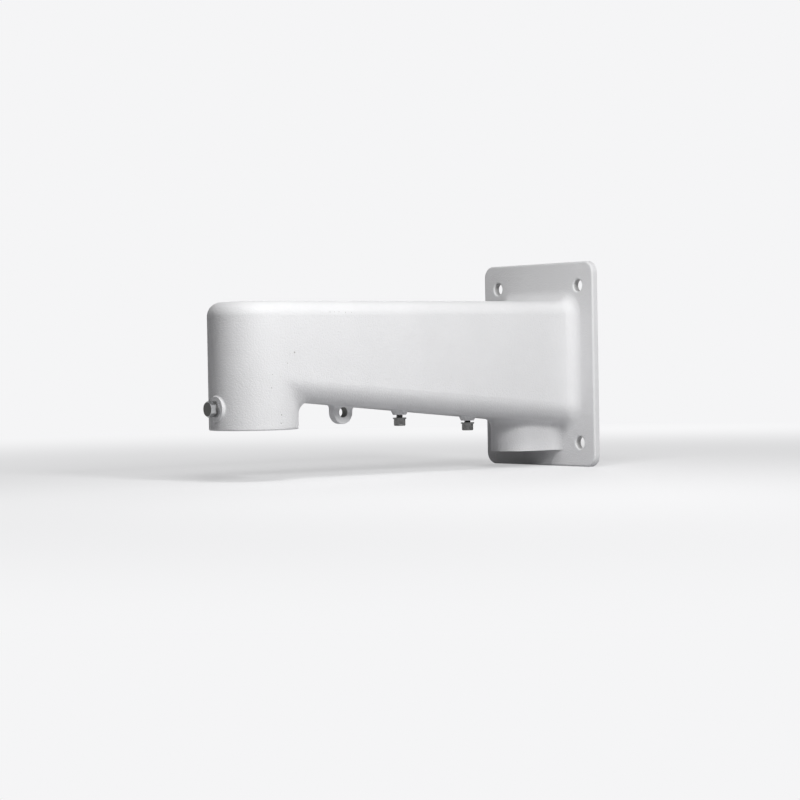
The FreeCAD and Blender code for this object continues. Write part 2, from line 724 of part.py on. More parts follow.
def draw_nose_hollow(sketch):
    """Half the hollow of the head, from its middle out to the wall of the nose."""
    reach = evaluate("sizes.head_reach")
    inner = evaluate(NOSE_HOLLOW_RADIUS)
    ceiling = evaluate("sizes.arm_top_height - sizes.wall_thickness")
    floor = evaluate(f"{underside('sizes.head_reach')} + sizes.wall_thickness")
    upper = evaluate("sizes.arm_top_round - sizes.wall_thickness")
    lower = evaluate("sizes.arm_bottom_round - sizes.wall_thickness")
    outer = -reach - inner
    line = Part.LineSegment
    sketch.addGeometry(line(V(-reach, ceiling, 0), V(outer + upper, ceiling, 0)), False)
    add_arc(sketch, (outer + upper, ceiling - upper), upper, 90, 180)
    sketch.addGeometry(line(V(outer, ceiling - upper, 0), V(outer, floor + lower, 0)), False)
    add_arc(sketch, (outer + lower, floor + lower), lower, 180, 270)
    sketch.addGeometry(line(V(outer + lower, floor, 0), V(-reach, floor, 0)), False)
    sketch.addGeometry(line(V(-reach, floor, 0), V(-reach, ceiling, 0)), False)
    tie(sketch, "Tangent", 0, 2, 1, 1)
    tie(sketch, "Tangent", 1, 2, 2, 1)
    tie(sketch, "Tangent", 2, 2, 3, 1)
    tie(sketch, "Tangent", 3, 2, 4, 1)
    tie(sketch, "Coincident", 4, 2, 5, 1)
    tie(sketch, "Coincident", 5, 2, 0, 1)
    tie(sketch, "Horizontal", 0)
    tie(sketch, "Vertical", 2)
    tie(sketch, "Horizontal", 4)
    tie(sketch, "Vertical", 5)
    bind(sketch, "DistanceX", (5, 1, -1, 1), "sizes.head_reach")
    bind(sketch, "DistanceX", (2, 1, 5, 1), NOSE_HOLLOW_RADIUS)
    bind(sketch, "DistanceY", (-1, 1, 5, 2), "sizes.arm_top_height - sizes.wall_thickness")
    bind(sketch, "DistanceY", (5, 1, 5, 2), "sizes.arm_depth_at_head - 2 * sizes.wall_thickness")
    bind(sketch, "Radius", (1,), "sizes.arm_top_round - sizes.wall_thickness")
    bind(sketch, "Radius", (3,), "sizes.arm_bottom_round - sizes.wall_thickness")


def cut_threaded_bore(body, name, reach, rim, depth):
    """Upright bore that opens downward, with a lead-in at its mouth."""
    radius = f"sizes.{name}_radius"
    chamfer = f"sizes.{name}_chamfer"
    sketch = new_sketch(body, f"{name}_outline", "YZ_Plane")
    draw_polygon(
        sketch,
        [
            (f"-{reach}", rim),
            (f"-{reach}", f"{rim} + {depth}"),
            (f"-({reach} + {radius})", f"{rim} + {depth}"),
            (f"-({reach} + {radius})", f"{rim} + {chamfer}"),
            (f"-({reach} + {radius} + {chamfer})", rim),
        ],
    )
    turn(body, "PartDesign::Groove", name, sketch, (sketch, ["Edge1"]))


def add_screw_bosses(body):
    """Two bosses in the arm's floor, conical outside, each with a blind tapped hole."""
    for place in ("front", "rear"):
        reach = f"sizes.{place}_screw_reach"
        floor = f"{underside(reach)} + sizes.wall_thickness"
        face = f"{underside(reach)} - sizes.screw_boss_drop"
        cone_top = f"{underside(reach)} + sizes.wall_thickness / 2"
        rise = "(sizes.screw_boss_drop + sizes.wall_thickness / 2)"
        cone_radius = f"sizes.screw_boss_face_radius + sizes.screw_boss_slope * {rise}"
        sketch = new_sketch(body, f"{place}_boss_outline", "YZ_Plane")
        draw_polygon(
            sketch,
            [
                (f"-{reach}", face),
                (f"-{reach}", f"{floor} + sizes.screw_boss_inner_height"),
                (
                    f"-({reach} + sizes.screw_boss_inner_radius)",
                    f"{floor} + sizes.screw_boss_inner_height",
                ),
                (f"-({reach} + sizes.screw_boss_inner_radius)", cone_top),
                (f"-({reach} + {cone_radius})", cone_top),
                (f"-({reach} + sizes.screw_boss_face_radius)", face),
            ],
        )
        name = f"{place}_screw_boss"
        boss = turn(body, "PartDesign::Revolution", name, sketch, (sketch, ["Edge1"]))
        round_screw_boss(body, boss, place)
        sketch = new_sketch(body, f"{place}_tapped_outline", "XY_Plane", face)
        hole_radius = "(sizes.cap_thread_diameter + sizes.thread_play) / 2"
        draw_circle(sketch, None, f"-{reach}", hole_radius)
        extrude(
            body,
            "PartDesign::Pocket",
            f"{place}_tapped_hole",
            sketch,
            "sizes.tapped_hole_depth",
            reverse=True,
        )


def round_screw_boss(body, boss, place):
    """Small blend where a boss leaves the underside."""
    reach = evaluate(f"sizes.{place}_screw_reach")
    level_there = evaluate(underside(f"sizes.{place}_screw_reach"))
    slope = evaluate(UNDERSIDE_SLOPE)
    limit = evaluate("2 * sizes.screw_boss_face_radius")

    def on_underside(points):
        return all(
            near(point.z, level_there - slope * (point.y + reach))
            and math.hypot(point.x, point.y + reach) < limit
            for point in points
        )

    fillet(body, f"{place}_boss_blend", boss, on_underside, "sizes.screw_boss_fillet")


def cut_wall_bolt_holes(body):
    face = -evaluate("sizes.plate_thickness")
    sketch = new_sketch(body, "wall_bolt_outline", "XZ_Plane")
    for across in ("", "-"):
        for up in ("", "-"):
            draw_circle(
                sketch,
                f"{across}sizes.bolt_spacing_across / 2",
                f"{up}sizes.bolt_spacing_up / 2",
                "sizes.bolt_hole_diameter / 2",
            )
    holes = extrude(
        body,
        "PartDesign::Pocket",
        "wall_bolt_holes",
        sketch,
        "2 * sizes.plate_thickness",
        midplane=True,
    )
    hole_radius = evaluate("sizes.bolt_hole_diameter / 2")
    half_across = evaluate("sizes.bolt_spacing_across / 2")
    half_up = evaluate("sizes.bolt_spacing_up / 2")

    def on_hole_rim(points):
        return all(
            near(point.y, face)
            and near(math.hypot(abs(point.x) - half_across, abs(point.z) - half_up), hole_radius)
            for point in points
        )

    fillet(body, "wall_bolt_hole_round", holes, on_hole_rim, "sizes.bolt_hole_round")


# Fasteners
def build_cap_screw(place):
    """Socket head cap screw, head down, its thread up along Z from the origin of the body."""
    body = new_body(f"cap_screw_{place}")
    sketch = new_sketch(body, f"cap_profile_{place}", "YZ_Plane")
    thread = "sizes.cap_thread_diameter / 2"
    draw_polygon(
        sketch,
        [
            (None, "-sizes.cap_head_height"),
            ("sizes.cap_head_diameter / 2", "-sizes.cap_head_height"),
            ("sizes.cap_head_diameter / 2", None),
            (thread, None),
            (thread, f"sizes.cap_screw_length - {POINT_CHAMFER}"),
            (f"{thread} - {POINT_CHAMFER}", "sizes.cap_screw_length"),
            (None, "sizes.cap_screw_length"),
        ],
    )
    solid = turn(body, "PartDesign::Revolution", f"cap_turned_{place}", sketch, (sketch, ["V_Axis"]))
    bottom = -evaluate("sizes.cap_head_height")

    def free_edge(points):
        return level(points, bottom)

    fillet(body, f"cap_round_{place}", solid, free_edge, "sizes.cap_head_round")
    sketch = new_sketch(body, f"cap_socket_outline_{place}", "XY_Plane", "-sizes.cap_head_height")
    draw_hexagon(sketch, "sizes.cap_socket_width")
    depth = "sizes.cap_socket_depth"
    extrude(body, "PartDesign::Pocket", f"cap_socket_{place}", sketch, depth, reverse=True)
    put_under_boss(body, place, "sizes.cap_washer_thickness")
    return body


def build_cap_washer(place):
    """Flat washer that lies on the head of its screw."""
    body = new_body(f"cap_screw_washer_{place}")
    sketch = new_sketch(body, f"cap_washer_outline_{place}", "XY_Plane")
    draw_circle(sketch, None, None, "sizes.cap_washer_diameter / 2")
    draw_circle(sketch, None, None, "sizes.cap_washer_hole / 2")
    thickness = "sizes.cap_washer_thickness"
    extrude(body, "PartDesign::Pad", f"cap_washer_{place}", sketch, thickness)
    put_under_boss(body, place, "sizes.cap_washer_thickness")
    return body


def put_under_boss(body, place, thickness):
    """Place a body so that its origin is the upper side of the screw's head."""
    reach = f"sizes.{place}_screw_reach"
    gap = f"sizes.{place}_screw_gap"
    drop = f"sizes.screw_boss_drop - {gap} - {thickness}"
    body.setExpression("Placement.Base.y", f"-{reach}")
    body.setExpression("Placement.Base.z", f"{underside(reach)} - {drop}")


def build_lock_bolt():
    """Hexagon head bolt along Y: the head in front of the origin, the thread behind it."""
    body = new_body("lock_bolt")
    sketch = new_sketch(body, "hex_outline", "XZ_Plane")
    draw_hexagon(sketch, "sizes.hex_width")
    extrude(body, "PartDesign::Pad", "hex_head", sketch, "sizes.hex_height")

    # Corners of the head turned off toward its free face
    corner = "sizes.hex_width / sqrt(3)"
    chamfer = "sizes.hex_width * (1 / sqrt(3) - sizes.hex_crown_share / 2)"
    sketch = new_sketch(body, "hex_crown_outline", "YZ_Plane")
    draw_polygon(
        sketch,
        [
            ("-sizes.hex_height", f"{corner} - {chamfer}"),
            (f"-(sizes.hex_height - {chamfer} * tan(sizes.hex_crown_angle))", corner),
            ("-sizes.hex_height", corner),
        ],
    )
    turn(body, "PartDesign::Groove", "hex_crown", sketch, (sketch, ["H_Axis"]))

    thread = "sizes.lock_thread_diameter / 2"
    sketch = new_sketch(body, "lock_thread_profile", "YZ_Plane")
    draw_polygon(
        sketch,
        [
            (None, None),
            (None, thread),
            (f"sizes.lock_bolt_length - {POINT_CHAMFER}", thread),
            ("sizes.lock_bolt_length", f"{thread} - {POINT_CHAMFER}"),
            ("sizes.lock_bolt_length", None),
        ],
    )
    turn(body, "PartDesign::Revolution", "lock_thread", sketch, (sketch, ["H_Axis"]))
    put_on_lock_boss(body, "sizes.flat_washer_thickness + sizes.spring_washer_thickness")
    return body


def build_lock_washer(label, diameter, thickness, beneath):
    """Ring on the lock bolt, from the origin of the body toward the front."""
    body = new_body(label)
    sketch = new_sketch(body, f"{label}_outline", "XZ_Plane")
    draw_circle(sketch, None, None, f"{diameter} / 2")
    draw_circle(sketch, None, None, "sizes.washer_hole_diameter / 2")
    extrude(body, "PartDesign::Pad", f"{label}_ring", sketch, thickness)
    put_on_lock_boss(body, beneath)
    return body


def cut_spring_washer_slit(body):
    """Slanting slit through one side of the spring washer."""
    half = "sizes.spring_washer_slit / 2"
    back = "sizes.spring_washer_thickness"
    front = "-(2 * sizes.spring_washer_thickness)"
    lean = "sizes.spring_washer_thickness / 3"
    sketch = new_sketch(body, "slit_outline", "XY_Plane")
    draw_polygon(
        sketch,
        [
            (f"-{half} - {lean}", back),
            (f"-{half} + {lean}", front),
            (f"{half} + {lean}", front),
            (f"{half} - {lean}", back),
        ],
    )
    length = "sizes.spring_washer_diameter"
    extrude(body, "PartDesign::Pocket", "slit", sketch, length, reverse=True)


def put_on_lock_boss(body, beneath):
    """Place a body in front of the lock boss, with a stack of washers beneath it."""
    body.setExpression("Placement.Base.y", f"-({LOCK_FACE} + {beneath})")
    body.setExpression("Placement.Base.z", LOCK_HEIGHT)


def build_pieces():
    """Every real piece of the wall arm."""
    pieces = [build_casting()]
    for place in ("front", "rear"):
        pieces.append(build_cap_screw(place))
        pieces.append(build_cap_washer(place))
    flat = "sizes.flat_washer_thickness"
    spring = "sizes.spring_washer_thickness"
    pieces.append(
        build_lock_washer("lock_bolt_flat_washer", "sizes.flat_washer_diameter", flat, "0")
    )
    coil = build_lock_washer("lock_bolt_spring_washer", "sizes.spring_washer_diameter", spring, flat)
    cut_spring_washer_slit(coil)
    pieces.append(coil)
    pieces.append(build_lock_bolt())
    return pieces


pieces = build_pieces()
doc.recompute()
for item in doc.Objects:
    if "Invalid" in item.State or "Error" in item.State:
        raise RuntimeError(f"{item.Name} failed")
for piece in pieces:
    if piece.Shape.isNull() or not piece.Shape.copy().isValid():
        raise RuntimeError(f"{piece.Label} has no sound shape")

os.makedirs("parts", exist_ok=True)
for piece in pieces:
    piece.Shape.exportStep(f"parts/{piece.Label}.step")
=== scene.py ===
# %% [markdown]
# A wall arm for a dome camera, dressed with its finishes and its screw threads.
# The construction model comes first and stays where it is. Everything here is in metres, in the same
# frame: the wall is the plane y = 0, the arm runs out along -Y, and Z is up.

# %% Load the construction model
import bpy
import json
import math
from mathutils import Matrix, Vector


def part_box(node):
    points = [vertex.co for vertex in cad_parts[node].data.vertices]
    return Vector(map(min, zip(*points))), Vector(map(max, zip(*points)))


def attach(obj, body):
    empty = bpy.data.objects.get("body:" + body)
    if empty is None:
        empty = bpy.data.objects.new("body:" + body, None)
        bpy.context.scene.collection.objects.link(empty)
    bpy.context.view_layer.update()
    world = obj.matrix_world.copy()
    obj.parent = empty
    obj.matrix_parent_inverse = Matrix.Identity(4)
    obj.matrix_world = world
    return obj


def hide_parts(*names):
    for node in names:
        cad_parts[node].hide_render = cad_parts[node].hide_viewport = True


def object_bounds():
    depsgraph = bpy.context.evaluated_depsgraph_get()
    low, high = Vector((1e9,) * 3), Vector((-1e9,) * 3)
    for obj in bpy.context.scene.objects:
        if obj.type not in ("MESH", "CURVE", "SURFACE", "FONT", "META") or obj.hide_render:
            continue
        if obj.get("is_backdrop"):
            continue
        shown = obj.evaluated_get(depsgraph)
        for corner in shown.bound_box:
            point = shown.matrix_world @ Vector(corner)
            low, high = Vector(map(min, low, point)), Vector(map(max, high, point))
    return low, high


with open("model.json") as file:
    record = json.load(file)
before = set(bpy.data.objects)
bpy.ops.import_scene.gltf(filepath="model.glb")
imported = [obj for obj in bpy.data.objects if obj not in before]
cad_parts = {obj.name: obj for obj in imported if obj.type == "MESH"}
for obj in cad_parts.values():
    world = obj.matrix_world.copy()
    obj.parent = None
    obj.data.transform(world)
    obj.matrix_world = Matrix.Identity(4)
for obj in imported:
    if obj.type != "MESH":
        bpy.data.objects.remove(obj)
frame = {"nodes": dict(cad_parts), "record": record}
cad_low, cad_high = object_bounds()
nodes = frame["nodes"]
print("construction model:", len(nodes), "pieces, box", tuple(cad_low), tuple(cad_high))

# %% [markdown]
# Three small helpers serve every finish. Colours are picked on screen as sRGB hex values, but a shader
# works in linear light, so one function turns them. Another adds a node, sets its values and links it,
# which keeps a long node tree readable from top to bottom. The last starts a material with no nodes.

# %% Helpers for colours and nodes
MM = 0.001


def linear(hex_colour):
    """Linear RGBA of an sRGB hex colour."""
    channels = [int(hex_colour[i:i + 2], 16) / 255 for i in (1, 3, 5)]
    low_end, offset, gain, power = 0.04045, 0.055, 1.055, 2.4
    curve = [c / 12.92 if c <= low_end else ((c + offset) / gain) ** power for c in channels]
    return (*curve, 1.0)


def add_node(tree, kind, settings=None, inputs=None):
    """Node of a kind, with attributes set, and each input given a value or a link from a socket."""
    node = tree.nodes.new(kind)
    for name, value in (settings or {}).items():
        setattr(node, name, value)
    for key, value in (inputs or {}).items():
        if isinstance(value, bpy.types.NodeSocket):
            tree.links.new(value, node.inputs[key])
        else:
            node.inputs[key].default_value = value
    return node


def new_material(name):
    """Material with an empty node tree, and that tree."""
    material = bpy.data.materials.new(name)
    material.use_nodes = True
    material.node_tree.nodes.clear()
    return material, material.node_tree


# %% [markdown]
# The camera stands where the picture was taken from: 1.8 m away, a little above the middle of the plate,
# on the arm's right side. Long focus keeps the arm's far end almost as large as its near end. The lens
# comes from the frame's width in pixels, and three offsets say where the middle of the plate lies from
# the centre of the picture.

# %% Camera
FRAME_PIXELS = 800
FOCAL_PIXELS = 2325.96
SENSOR_WIDTH_MM = 36.0
CAMERA_AZIMUTH = math.radians(51.757)
CAMERA_ELEVATION = math.radians(0.993)
CAMERA_ROLL = math.radians(-1.005)
PLATE_TO_THE_RIGHT = 0.1105
PLATE_ABOVE_CENTRE = 0.02739
PLATE_AWAY = 1.79815


def camera_axes():
    """Right, up and backward directions of the camera, with its small roll."""
    turn, lift = CAMERA_AZIMUTH, CAMERA_ELEVATION
    back = Vector((
        math.sin(turn) * math.cos(lift),
        -math.cos(turn) * math.cos(lift),
        math.sin(lift),
    ))
    level = Vector((math.cos(turn), math.sin(turn), 0))
    upright = back.cross(level)
    right = math.cos(CAMERA_ROLL) * level + math.sin(CAMERA_ROLL) * upright
    up = math.cos(CAMERA_ROLL) * upright - math.sin(CAMERA_ROLL) * level
    return right, up, back


right, up, back = camera_axes()
camera_data = bpy.data.cameras.new("camera")
camera_data.sensor_width = SENSOR_WIDTH_MM
camera_data.lens = FOCAL_PIXELS * SENSOR_WIDTH_MM / FRAME_PIXELS
camera = bpy.data.objects.new("camera", camera_data)
bpy.context.scene.collection.objects.link(camera)
camera_place = PLATE_AWAY * back - PLATE_TO_THE_RIGHT * right - PLATE_ABOVE_CENTRE * up
axes = Matrix((right, up, back)).transposed().to_4x4()
camera.matrix_world = Matrix.Translation(camera_place) @ axes
bpy.context.scene.camera = camera
print("camera at", tuple(camera_place), "lens", camera_data.lens)

# %% [markdown]
# The arm stands on the lower edge of its plate, on a pale sweep. The floor is an ordinary pale surface,
# so it takes the soft shadow and throws some light back up. Farther off it fades into the plain off-white
# of the world, which the camera and mirror-like rays see at full strength and other rays see dimmer.

# %% Floor
FLOOR_GAP = 0.0002
FLOOR_HALF = 30.0
FLOOR_FADE_START = 0.2
FLOOR_FADE_END = 1.1
FLOOR_GLOW = 0.5
FLOOR_COLOUR = "#F1F1F2"
FLOOR_BOUNCE_COLOUR = "#BEBEC0"
BACKGROUND_COLOUR = "#F5F5F6"


def background_rays(tree):
    """1 for the rays of the camera, of mirrors and of glass, which see the plain background."""
    ray = add_node(tree, "ShaderNodeLightPath")
    mirror = add_node(
        tree,
        "ShaderNodeMath",
        {"operation": "MAXIMUM"},
        {0: ray.outputs["Is Glossy Ray"], 1: ray.outputs["Is Transmission Ray"]},
    )
    plain = add_node(
        tree,
        "ShaderNodeMath",
        {"operation": "MAXIMUM"},
        {0: ray.outputs["Is Camera Ray"], 1: mirror.outputs["Value"]},
    )
    return plain.outputs["Value"]


floor_height = cad_low.z - FLOOR_GAP
floor_mesh = bpy.data.meshes.new("floor")
floor_mesh.from_pydata(
    [(x * FLOOR_HALF, y * FLOOR_HALF, floor_height) for x, y in ((-1, -1), (1, -1), (1, 1), (-1, 1))],
    [],
    [(0, 1, 2, 3)],
)
floor = bpy.data.objects.new("floor", floor_mesh)
bpy.context.scene.collection.objects.link(floor)
floor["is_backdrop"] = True

paper, tree = new_material("white_paper_sweep")
place = add_node(tree, "ShaderNodeTexCoord")
distance = add_node(tree, "ShaderNodeVectorMath", {"operation": "LENGTH"}, {0: place.outputs["Object"]})
fade = add_node(
    tree,
    "ShaderNodeMapRange",
    {"interpolation_type": "SMOOTHSTEP"},
    {
        "Value": distance.outputs["Value"],
        "From Min": FLOOR_FADE_START,
        "From Max": FLOOR_FADE_END,
        "To Min": FLOOR_GLOW,
        "To Max": 1.0,
    },
)
plain = background_rays(tree)
tint = add_node(
    tree,
    "ShaderNodeMix",
    {"data_type": "RGBA"},
    {
        "Factor": plain,
        "A": linear(FLOOR_BOUNCE_COLOUR),
        "B": linear(FLOOR_COLOUR),
    },
)
surface = add_node(tree, "ShaderNodeBsdfDiffuse", None, {"Color": tint.outputs["Result"]})
glow = add_node(tree, "ShaderNodeEmission", None, {"Color": linear(BACKGROUND_COLOUR), "Strength": 1.0})
seen = add_node(
    tree,
    "ShaderNodeMath",
    {"operation": "MULTIPLY"},
    {0: fade.outputs["Result"], 1: plain},
)
blend = add_node(
    tree,
    "ShaderNodeMixShader",
    None,
    {0: seen.outputs["Value"], 1: surface.outputs["BSDF"], 2: glow.outputs["Emission"]},
)
add_node(tree, "ShaderNodeOutputMaterial", None, {"Surface": blend.outputs["Shader"]})
floor_mesh.materials.append(paper)
print("floor at height", floor_height)

# %% [markdown]
# The world is plain off-white to the camera and in reflections. All other rays see only a faint part of
# it, so that the lamps give the object its shape and the shadow stays.

# %% World
AMBIENT_COLOUR = "#FFFFFF"
AMBIENT_STRENGTH = 0.04

world = bpy.data.worlds.new("white_studio")
world.use_nodes = True
bpy.context.scene.world = world
tree = world.node_tree
tree.nodes.clear()
plain = background_rays(tree)
dim = add_node(
    tree,
    "ShaderNodeBackground",
    None,
    {"Color": linear(AMBIENT_COLOUR), "Strength": AMBIENT_STRENGTH},
)
white = add_node(
    tree,
    "ShaderNodeBackground",
    None,
    {"Color": linear(BACKGROUND_COLOUR), "Strength": 1.0},
)
blend = add_node(
    tree,
    "ShaderNodeMixShader",
    None,
    {0: plain, 1: dim.outputs["Background"], 2: white.outputs["Background"]},
)
add_node(tree, "ShaderNodeOutputWorld", None, {"Surface": blend.outputs["Shader"]})
print("world:", world.name)

# %% [markdown]
# The light is soft and plain, as in a small product studio. A panel on the right, somewhat above the arm,
# makes the long side the brightest, and the round head falls off to grey on its left. A small one lifts
# the plate's face, and one behind on the left lights the plate's back and the side away from the camera.
# There is none above, so the top shows as a thin line against the background.

# %% Lights
LIGHT_TARGET = Vector((0.0, -0.15, 0.0))
# name, direction from the arm (x, y, z), distance, side of the panel, power in watts
LIGHTS = [
    ("side_panel", (1.0, -0.1, 0.48), 1.6, 0.3, 12.5),
    ("plate_panel", (0.35, -0.25, 0.5), 0.6, 0.25, 2.25),
    ("left_panel", (-0.64, 0.78, 0.16), 1.6, 0.5, 15.0),
]


def add_panel(name, direction, away, side, power):
    """Square area light that faces the arm."""
    data = bpy.data.lights.new(name, "AREA")
    data.size = side
    data.energy = power
    panel = bpy.data.objects.new(name, data)
    bpy.context.scene.collection.objects.link(panel)
    toward = Vector(direction).normalized()
    panel.location = LIGHT_TARGET + away * toward
    panel.rotation_euler = toward.to_track_quat("Z", "Y").to_euler()
    panel.visible_camera = False
    return panel


for light in LIGHTS:
    add_panel(*light)
print("lights:", [light[0] for light in LIGHTS])

# %% [markdown]
# Blender's usual view transform compresses bright tones. The standard one shows each colour as it is
# given, which a pale object on a pale background needs.

# %% View transform
scene = bpy.context.scene
scene.view_settings.view_transform = "Standard"
print("view transform:", scene.view_settings.view_transform)

# %% [markdown]
# The arm, head, plate and bosses are one sand casting in aluminium alloy, shot-blasted and powder-coated
# in a pale grey. Powder melts into a film about 0.1 mm thick whose skin is never quite flat, which is
# called orange peel. It shows as fine grain under raking light, so it is made with bump from noise.
# A few pits of the casting show through the coat as dents, darkened with painted shade. Each is placed by
# the pixel where the picture shows it: a ray from the camera finds the spot on the casting, so the pit
# sits in the metal from any side.

# %% Pits of the casting
# name, pixels across and down the picture, radius in millimetres
PITS = [
    ("neck_upper", 294.5, 352.5, 0.8),
    ("neck_side", 290.0, 354.0, 0.35),
    ("neck_middle", 287.5, 363.3, 0.4),
    ("head_middle", 272.5, 374.5, 0.4),
    ("head_right", 280.0, 377.0, 0.35),
    ("head_low", 271.5, 388.0, 0.45),
    ("head_rim_upper", 281.5, 415.0, 0.6),
    ("head_rim_lower", 281.2, 423.5, 0.5),
    ("shoulder_first", 330.0, 312.0, 0.4),
    ("shoulder_second", 334.5, 311.8, 0.3),
    ("shoulder_third", 339.0, 311.8, 0.4),
    ("shoulder_fourth", 345.5, 312.3, 0.4),
    ("shoulder_fifth", 351.5, 312.5, 0.3),
    ("plate_upper", 509.0, 281.0, 0.5),
]
HALF_FRAME = FRAME_PIXELS / 2
casting = nodes["bracket_casting"]


def spot_on_casting(across, down):
    """Spot of the casting that the camera sees at a pixel."""
    ray = (
        (across - HALF_FRAME) / FOCAL_PIXELS * right
        + (HALF_FRAME - down) / FOCAL_PIXELS * up
        - back
    )
    found, spot, _, _ = casting.ray_cast(camera_place, ray.normalized())
    return spot if found else None


bpy.context.view_layer.update()
pit_spots = [(name, spot_on_casting(across, down), radius * MM) for name, across, down, radius in PITS]
pit_spots = [pit for pit in pit_spots if pit[1] is not None]
print("pits on the casting:", len(pit_spots))

# %% [markdown]
# The coat is one shader for the whole casting. Noise of three widths gives its tint, its slow waves and
# its grain, and each pit dents it and darkens it with painted shade. All of it reads object coordinates,
# so nothing slides.

# %% Powder coat of the casting
COAT_COLOUR = "#E2E2E3"
COAT_SHADE_COLOUR = "#DBDBDC"
# Painted shade inside the pits
PIT_SHADE_COLOUR = "#A9A8A6"
COAT_ROUGHNESS = 0.6
COAT_SPECULAR = 0.3
# Real orange peel is 1 to 3 mm across and about 0.02 mm deep. It is drawn deeper here, because at its
# true depth it would be too fine to show.
PEEL_WIDTH = 1.1 * MM
PEEL_DEPTH = 0.3 * MM
WAVE_WIDTH = 9 * MM
WAVE_DEPTH = 0.06 * MM
SHADE_WIDTH = 25 * MM
SHADE_DETAIL = 3.0
PEEL_DETAIL = 2.0
PEEL_EDGE = 0.6
PIT_DEPTH = 0.2 * MM
PIT_FLOOR_SHARE = 0.45
# Powder gathers in the hollow between head and arm, which widens the blend of the casting there. A pixel
# in the middle of it says where, and the smoothing fades away between two distances from there.
NECK_PIXEL = (293.0, 392.0)
NECK_SMOOTHING = 8.0 * MM
NECK_SAMPLES = 8
NECK_NEAR = 14 * MM
NECK_FAR = 30 * MM
# The walls of small holes, in the rope eye and in the four bolt holes, are darkened with painted shade.
# The record's mounts say where they are.
HOLE_SHADE_COLOUR = "#8E8E8C"
HOLE_WALL_MARGIN = 0.3 * MM
EYE_SHADE_SHARE = 1.0
BOLT_SHADE_SHARE = 0.5
mounts = {mount["name"]: mount for mount in frame["record"]["mounts"]}
eye = mounts["safety_rope_eye"]
bolts = mounts["wall_bolts"]["dims"]
EYE_MIDDLE = (0.0, *eye["pos_m"][1:])
EYE_RADIUS = eye["dims"]["r_mm"] * MM
BOLT_MIDDLE = (bolts["spacing_x_mm"] / 2 * MM, 0.0, bolts["spacing_y_mm"] / 2 * MM)
BOLT_RADIUS = bolts["hole_r_mm"] * MM


def hole_wall_shade(tree, place, across, middle, radius, shade_share):
    """How much painted shade each point of a hole's wall gets, found by its distance from the hole's
    axis.
    """
    flat = add_node(tree, "ShaderNodeVectorMath", {"operation": "MULTIPLY"}, {0: place, 1: across})
    away = add_node(
        tree, "ShaderNodeVectorMath", {"operation": "DISTANCE"}, {0: flat.outputs["Vector"], 1: middle}
    )
    wall = add_node(
        tree,
        "ShaderNodeMapRange",
        None,
        {
            "Value": away.outputs["Value"],
            "From Min": radius + HOLE_WALL_MARGIN,
            "From Max": radius + HOLE_WALL_MARGIN / 2,
            "To Max": shade_share,
        },
    )
    return wall.outputs["Result"]


